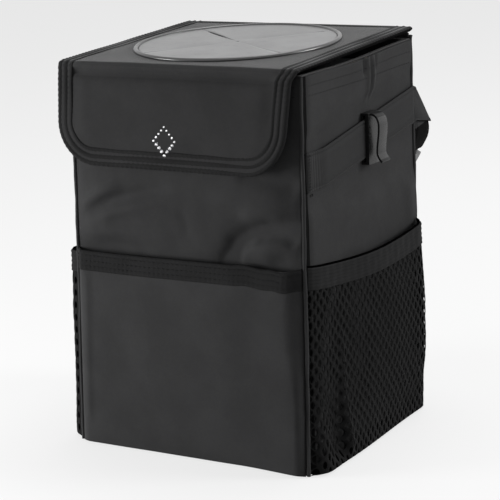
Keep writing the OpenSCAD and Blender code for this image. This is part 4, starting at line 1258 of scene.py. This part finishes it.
def make_closure():
    """The two halves of the hook-and-loop closure, with napped faces and a sewn border."""
    low = FOLD_Z - FLAP_H + 16
    x, z = grid_of(lines(-50, 50, 120), lines(low, low + 20, 30))
    border = edge_fade(x, z, 50, low, low + 20, 1.6)
    thick = 0.25 + 0.6 * border + 0.12 * waves(x, z, 95, 2.6, 7) * border
    for name, node, dress, y, flip in (
            ("loop_half", "front_loop_patch", on_bin, -(half_d(z) + thick), False),
            ("hook_half", "flap_hook_patch", on_flap, FOLD_Y + FLAP_T + thick, True)):
        piece = cloth(name, stack(x, y, z), 0.25, HOOKS, stack(x, z), flip=flip)
        dress(piece, node, slot="hook_and_loop")


# Webbing, buckle and clips

STRAP_W, STRAP_T, STRAP_Z, SLOPE = 28.0, 1.4, 218.5, math.radians(9)


def ring_of(a, b, face, thick=STRAP_T):
    """Cross-section of the webbing between two edge points: soft edges and a slight crown."""
    a, b, face = np.asarray(a, float), np.asarray(b, float), np.asarray(face, float)
    rows = []
    top = [(0.0, 0.2), (0.012, 0.42), (0.035, 0.52), (0.07, 0.5), (0.085, 0.12), (0.1, 0.5), (0.25, 0.5),
           (0.5, 0.54), (0.75, 0.5), (0.9, 0.5), (0.915, 0.12), (0.93, 0.5), (0.965, 0.52), (0.988, 0.42),
           (1.0, 0.2)]
    for t, h in top:
        rows.append(a + (b - a) * t + face * thick * h)
    for t, h in top[::-1]:
        rows.append(a + (b - a) * t - face * thick * h)
    return rows


def rings_along(points, widths):
    points = np.asarray(points, float)
    rings = []
    n = len(points)
    for i in range(n):
        along = unit(points[min(i + 1, n - 1)] - points[max(i - 1, 0)])
        face = unit(np.cross(along, widths[i]))
        half = np.cross(face, along) * STRAP_W / 2
        rings.append(ring_of(points[i] + half, points[i] - half, face))
    return rings


def curve(p, t):
    p = [np.asarray(q, float) for q in p]
    return (1 - t) ** 3 * p[0] + 3 * (1 - t) ** 2 * t * p[1] + 3 * (1 - t) * t ** 2 * p[2] + t ** 3 * p[3]


def strap_routes():
    """The part's own route of the webbing, at the right side and, mirrored, at the left one."""
    strap_x = SIDE_X + 1.6 + 0.6 + STRAP_T / 2
    sewn_x = SIDE_X + STRAP_T / 2 + 0.35
    front_y = -float(half_d(STRAP_Z)) + WELT_R + 3
    bend_y = front_y + 18
    corner_y = float(half_d(STRAP_Z)) - 2
    corner_z = STRAP_Z + (corner_y - bend_y) * math.tan(SLOPE)
    back_y = float(half_d(STRAP_Z))
    corner = np.array([strap_x, corner_y, corner_z])
    side_width = np.array([0, -math.sin(SLOPE), math.cos(SLOPE)])
    turn = math.radians(6)
    dip = math.radians(60)
    width_dir = np.array([-math.sin(turn), math.cos(turn), 0])
    buckle_dir = np.array([-math.cos(dip) * math.cos(turn), -math.cos(dip) * math.sin(turn), -math.sin(dip)])
    face = np.cross(buckle_dir, width_dir)
    socket = np.array([strap_x - 15, back_y + 23, corner_z - 38])
    plug = socket + 48 * buckle_dir

    pts = [np.array([sewn_x, front_y - 1.5, STRAP_Z]), np.array([sewn_x, front_y + 4, STRAP_Z]),
           np.array([sewn_x, bend_y - 8, STRAP_Z])]
    up = np.array([0, 0, 1.0])
    wid = [up, up, up]
    bend = np.array([strap_x, bend_y, STRAP_Z])
    for t in lines(0, 1, 7)[1:]:
        q = curve([pts[2], pts[2] + [0, 5, 0], bend + [0, 1, 0.2], bend + [0, 10, 10 * math.tan(SLOPE)]], t)
        pts.append(q)
        wid.append(unit(up * (1 - t) + side_width * t))
    straight0 = bend + [0, 10, 10 * math.tan(SLOPE)]
    for t in np.concatenate([lines(0, 0.93, 22)[1:], lines(0.93, 1, 9)[1:]]):
        pts.append(straight0 + (corner - straight0) * t)
        wid.append(side_width)
    side_rings = rings_along(pts, wid)

    fold_r, fold_run, fold_drop = 1.3, 34, 5
    top = corner + side_width * STRAP_W / 2 + [0, 2, 0]
    foot = corner + [0, fold_run, -STRAP_W / 2 - fold_drop]
    out = unit(np.array([0, top[2] - foot[2], foot[1] - top[1]]))
    clear = unit(foot - top) * (4 * WELT_R + 0.3)
    fold_rings = []
    for a in lines(0, math.pi, 9):
        f = np.array([math.cos(a), 0, 0]) + out * math.sin(a)
        shift = fold_r * (f - [1, 0, 0])
        fold_rings.append(ring_of(top + clear * min(1, 2 * a / math.pi) + shift, foot + shift, f))
    hang = np.array([strap_x - 2 * fold_r, foot[1] - STRAP_W / 2, corner_z - STRAP_W / 2 - fold_drop])
    hang_width = np.array([0, -1.0, 0])
    loop_r = 3 * 0.75 + 0.3 + STRAP_T / 2

    def bar_turn(bar, into, sidewards, tail=12):
        pts = [bar + loop_r * (sidewards * math.cos(a) + into * math.sin(a)) for a in lines(0, math.pi, 11)]
        end = bar - sidewards * loop_r
        return pts + [end - into * tail * t for t in lines(0, 1, 6)[1:]]

    def hung(points, last):
        n = len(points)
        shares = [min(1, 1.6 * i / n) for i in range(n)]
        return rings_along(points, [unit(hang_width + (last - hang_width) * t) for t in shares])

    right_in = socket + face * loop_r
    c = [hang, hang - [0, 0, 6], right_in - 8 * buckle_dir, right_in]
    right = [curve(c, t) for t in lines(0, 1, 9)[:-1]] + bar_turn(socket, buckle_dir, face)
    right_rings = side_rings + fold_rings + hung(right, -width_dir)

    flip = np.array([-1.0, 1, 1])
    bar, into, sidewards = plug * flip, -(buckle_dir * flip), face * flip
    left_in = bar + sidewards * loop_r
    low = np.array([14, back_y + 25, corner_z - 104])
    c1 = [hang, hang - [0, 0, 40], low + [46, 0, 2], low]
    c2 = [low, low - [36, 0, 2], left_in - 22 * into, left_in]
    left = ([curve(c1, t) for t in lines(0, 1, 25)[:-1]] + [curve(c2, t) for t in lines(0, 1, 19)[:-1]]
            + bar_turn(bar, into, sidewards))
    left_rings = side_rings + fold_rings + hung(left, -(width_dir * flip))
    return right_rings, left_rings


def make_webbing(name, rings, mirrored):
    r = np.array(rings)
    corner_y = float(half_d(STRAP_Z)) - 2
    corner_z = STRAP_Z + (corner_y + float(half_d(STRAP_Z)) - WELT_R - 21) * math.tan(SLOPE)
    past = r[..., 1] - corner_y
    here = ease(r[..., 2], corner_z - 34, corner_z - 14) * (r[..., 0] > SIDE_X - 6)
    r[..., 0] -= here * (0.1 * np.clip(past, 0, 40) + 0.9 * np.exp(-((past + 0.6) / 1.1) ** 2))
    # It stands off the wall already where the clip's slide ends
    side_band = (r[..., 0] > SIDE_X) * (r[..., 1] < 0)
    r[..., 0] += 0.28 * side_band * ease(r[..., 1], -65, -60.5) * (1 - ease(r[..., 1], -59, -55))
    if mirrored:
        r = r * np.array([-1.0, 1, 1])
    piece = loft(name, r, WEBBING, run_of(r.mean(axis=1)), run_of(r[0]))
    # The hanging loop behind the back corner is painted with shade
    paint(piece, [WEBBING_PAINTED_SHADE], lambda middle, way: middle.z < corner_z - 15 and middle.y > corner_y + 3)
    return piece


def make_straps():
    right, left = strap_routes()
    for name, rings in (("right", right), ("left", left)):
        piece = make_webbing(name + "_webbing", rings, name == "left")
        on_bin(piece, name + "_strap", slot="webbing")
    # Box stitch and bar tacks at the sewn ends
    rows = []
    for side in (-1, 1):
        x = side * (SIDE_X + STRAP_T + 0.42)
        for y in (-81.8, -79.4):
            z = lines(STRAP_Z - 13, STRAP_Z + 13, 12)
            path = stack(x, y, z)
            rows.append(stitches(path, (side, 0, 0), 1.6, 0.5, 0.3, 0.1))
        for z in (STRAP_Z - 16.2, STRAP_Z - 17.2):
            path = stack(side * (SIDE_X + 0.5), lines(-79, -73.5, 6), z)
            rows.append(stitches(path, (side, 0, 0), 1.6, 0.3, 0.4, 0.1))
    on_bin(join_pieces("strap_stitches", rows))


def softened(name, node, material, width, body):
    """The node's own shape with its edges rounded, as a moulding's are."""
    source = NODES[node]
    data = source.data.copy()
    data.name = name
    work = bmesh.new()
    work.from_mesh(data)
    bmesh.ops.remove_doubles(work, verts=work.verts, dist=1e-6)
    bmesh.ops.dissolve_limit(work, angle_limit=math.radians(4), verts=work.verts, edges=work.edges)
    edges = [e for e in work.edges if len(e.link_faces) == 2 and e.calc_face_angle(0) > math.radians(38)]
    bmesh.ops.bevel(work, geom=edges, offset=width * MM, segments=3, profile=0.6, affect="EDGES",
                    clamp_overlap=True)
    bmesh.ops.triangulate(work, faces=[f for f in work.faces if len(f.verts) > 4])
    work.to_mesh(data)
    work.free()
    data.materials.clear()
    data.materials.append(material)
    data.polygons.foreach_set("use_smooth", [True] * len(data.polygons))
    data.set_sharp_from_angle(angle=math.radians(40))
    piece = bpy.data.objects.new(name, data)
    bpy.context.scene.collection.objects.link(piece)
    # Faces not turned to the sides take the duller copy of the plastic: painted shade
    if material is PLASTIC:
        paint(piece, [PLASTIC_PAINTED_SHADE], lambda middle, way: abs(way.x) < 0.82)
    attach(piece, body, node, slot="clip_plastic")


def make_studs():
    """A plain lozenge of cut studs, each in its own small cup, set into the flap's cloth."""
    places = [(-10 + 9 * math.copysign(1, c) * (1 - abs(k) / 4), 239.5 + 10.5 * k / 4)
              for c in (-1, 1) for k in range(-4, 5) if abs(k) < 4 or c > 0]
    points, faces = [], []
    for number, (x, z) in enumerate(places):
        turn = 0.4 * number
        rings = [(1.35, 0.0, 12), (1.4, 0.45, 12), (1.15, 0.7, 12), (1.1, 0.55, 12), (1.0, 0.95, 6),
                 (0.55, 1.5, 6)]
        base = len(points)
        for radius, rise, sides in rings:
            for k in range(12):
                a = turn + 2 * math.pi * (k if sides == 12 else 2 * (k // 2)) / 12
                points.append((x + 3 + radius * math.cos(a), FOLD_Y - 0.7 - rise,
                               z - 3 + radius * math.sin(a)))
        faces += loft_faces(len(rings), 12, base)
    piece = add_mesh("flap_stones", points, faces, STUDS, smooth=False)
    work = bmesh.new()
    work.from_mesh(piece.data)
    bmesh.ops.remove_doubles(work, verts=work.verts, dist=1e-6)
    bmesh.ops.dissolve_degenerate(work, edges=work.edges, dist=1e-6)
    bmesh.ops.recalc_face_normals(work, faces=work.faces)
    work.to_mesh(piece.data)
    work.free()
    on_flap(piece, "flap_studs", slot="stud_metal")


def make_tag():
    z, u = grid_of(lines(45, 69, 16), lines(0, 8, 12))
    y = half_d(57) + 0.3 + u
    x = 95.0 + 0.6 + 0.5 * np.sin(u / 8 * 1.6 + z / 9.0)
    piece = cloth("side_tag_loop", stack(x, y, z), 0.9, TAG, stack(u, z), flip=True)
    attach(piece, "bin", "side_tag", slot="tag_cloth")


make_boards()
make_body_cloth()
make_welts()
make_rim()
make_liner()
make_front_pocket()
make_side_pockets()
make_cover()
make_tape()
make_linings()
make_ring_parts()
make_hinge_tape()
make_closure()
make_straps()
softened("right_clip_body", "right_hook_clip", PLASTIC, 0.45, "right_clip")
softened("left_clip_body", "left_hook_clip", PLASTIC, 0.45, "left_clip")
softened("buckle_socket_body", "buckle_socket", BUCKLE, 0.5, "bin")
softened("buckle_plug_body", "buckle_plug", BUCKLE, 0.4, "bin")
make_tag()
for board in ("back_board", "right_board", "base_board"):
    set_material(board, BOARD)
make_studs()


# Floor, lamps and world

def make_stage():
    """A white floor and world that look bright to the camera and light the part less."""
    def seen_rays(m):
        paths = m.add("ShaderNodeLightPath")
        seen = m.math("MAXIMUM", paths.outputs["Is Camera Ray"], paths.outputs["Is Glossy Ray"])
        return paths.outputs["Is Camera Ray"], m.math("MAXIMUM", seen, paths.outputs["Is Transmission Ray"])

    m = new_material("floor")
    camera_ray, seen = seen_rays(m)
    diffuse = m.add("ShaderNodeBsdfDiffuse")
    m.link(m.mix(camera_ray, (0.4, 0.4, 0.4, 1), (0.86, 0.86, 0.86, 1)), diffuse.inputs["Color"])
    glow = m.add("ShaderNodeEmission")
    glow.inputs["Strength"].default_value = 1.0
    mix = m.add("ShaderNodeMixShader")
    share = m.math("MULTIPLY", seen, 0.72)
    for socket, value in zip(mix.inputs, (share, diffuse.outputs[0], glow.outputs[0])):
        m.link(value, socket)
    m.link(mix.outputs[0], m.tree.nodes["Material Output"].inputs["Surface"])
    far = 9000
    floor = add_mesh("floor", [(-far, -far, 0), (far, -far, 0), (far, far, 0), (-far, far, 0)],
                     [(0, 1, 2, 3)], m.owner, smooth=False)

    world = Nodes(bpy.data.worlds.new("studio"))
    bpy.context.scene.world = world.owner
    back = world.tree.nodes["Background"]
    level = world.add("ShaderNodeMapRange")
    world.link(seen_rays(world)[1], level.inputs["Value"])
    level.inputs["To Min"].default_value = 0.3
    level.inputs["To Max"].default_value = 1.0
    world.link(level.outputs[0], back.inputs["Strength"])
    back.inputs["Color"].default_value = (1, 1, 1, 1)

    def lamp(name, spot, aim, size, power):
        data = bpy.data.lights.new(name, "AREA")
        data.shape = "DISK"
        data.size = size
        data.energy = power
        light = bpy.data.objects.new(name, data)
        turn = (Vector(aim) - Vector(spot)).to_track_quat("-Z", "Y")
        light.matrix_world = Matrix.Translation(spot) @ turn.to_matrix().to_4x4()
        bpy.context.scene.collection.objects.link(light)

    lamp("key", (-0.76, -0.62, 0.2), (0, 0, 0.1), 0.42, 9.4)
    lamp("side", (2.0, 0.9, 0.9), (0, 0, 0.15), 0.9, 29)
    lamp("top", (0.0, 0.5, 2.1), (0, 0, 0.2), 1.2, 18)


make_stage()
bpy.context.scene.view_settings.view_transform = "Standard"
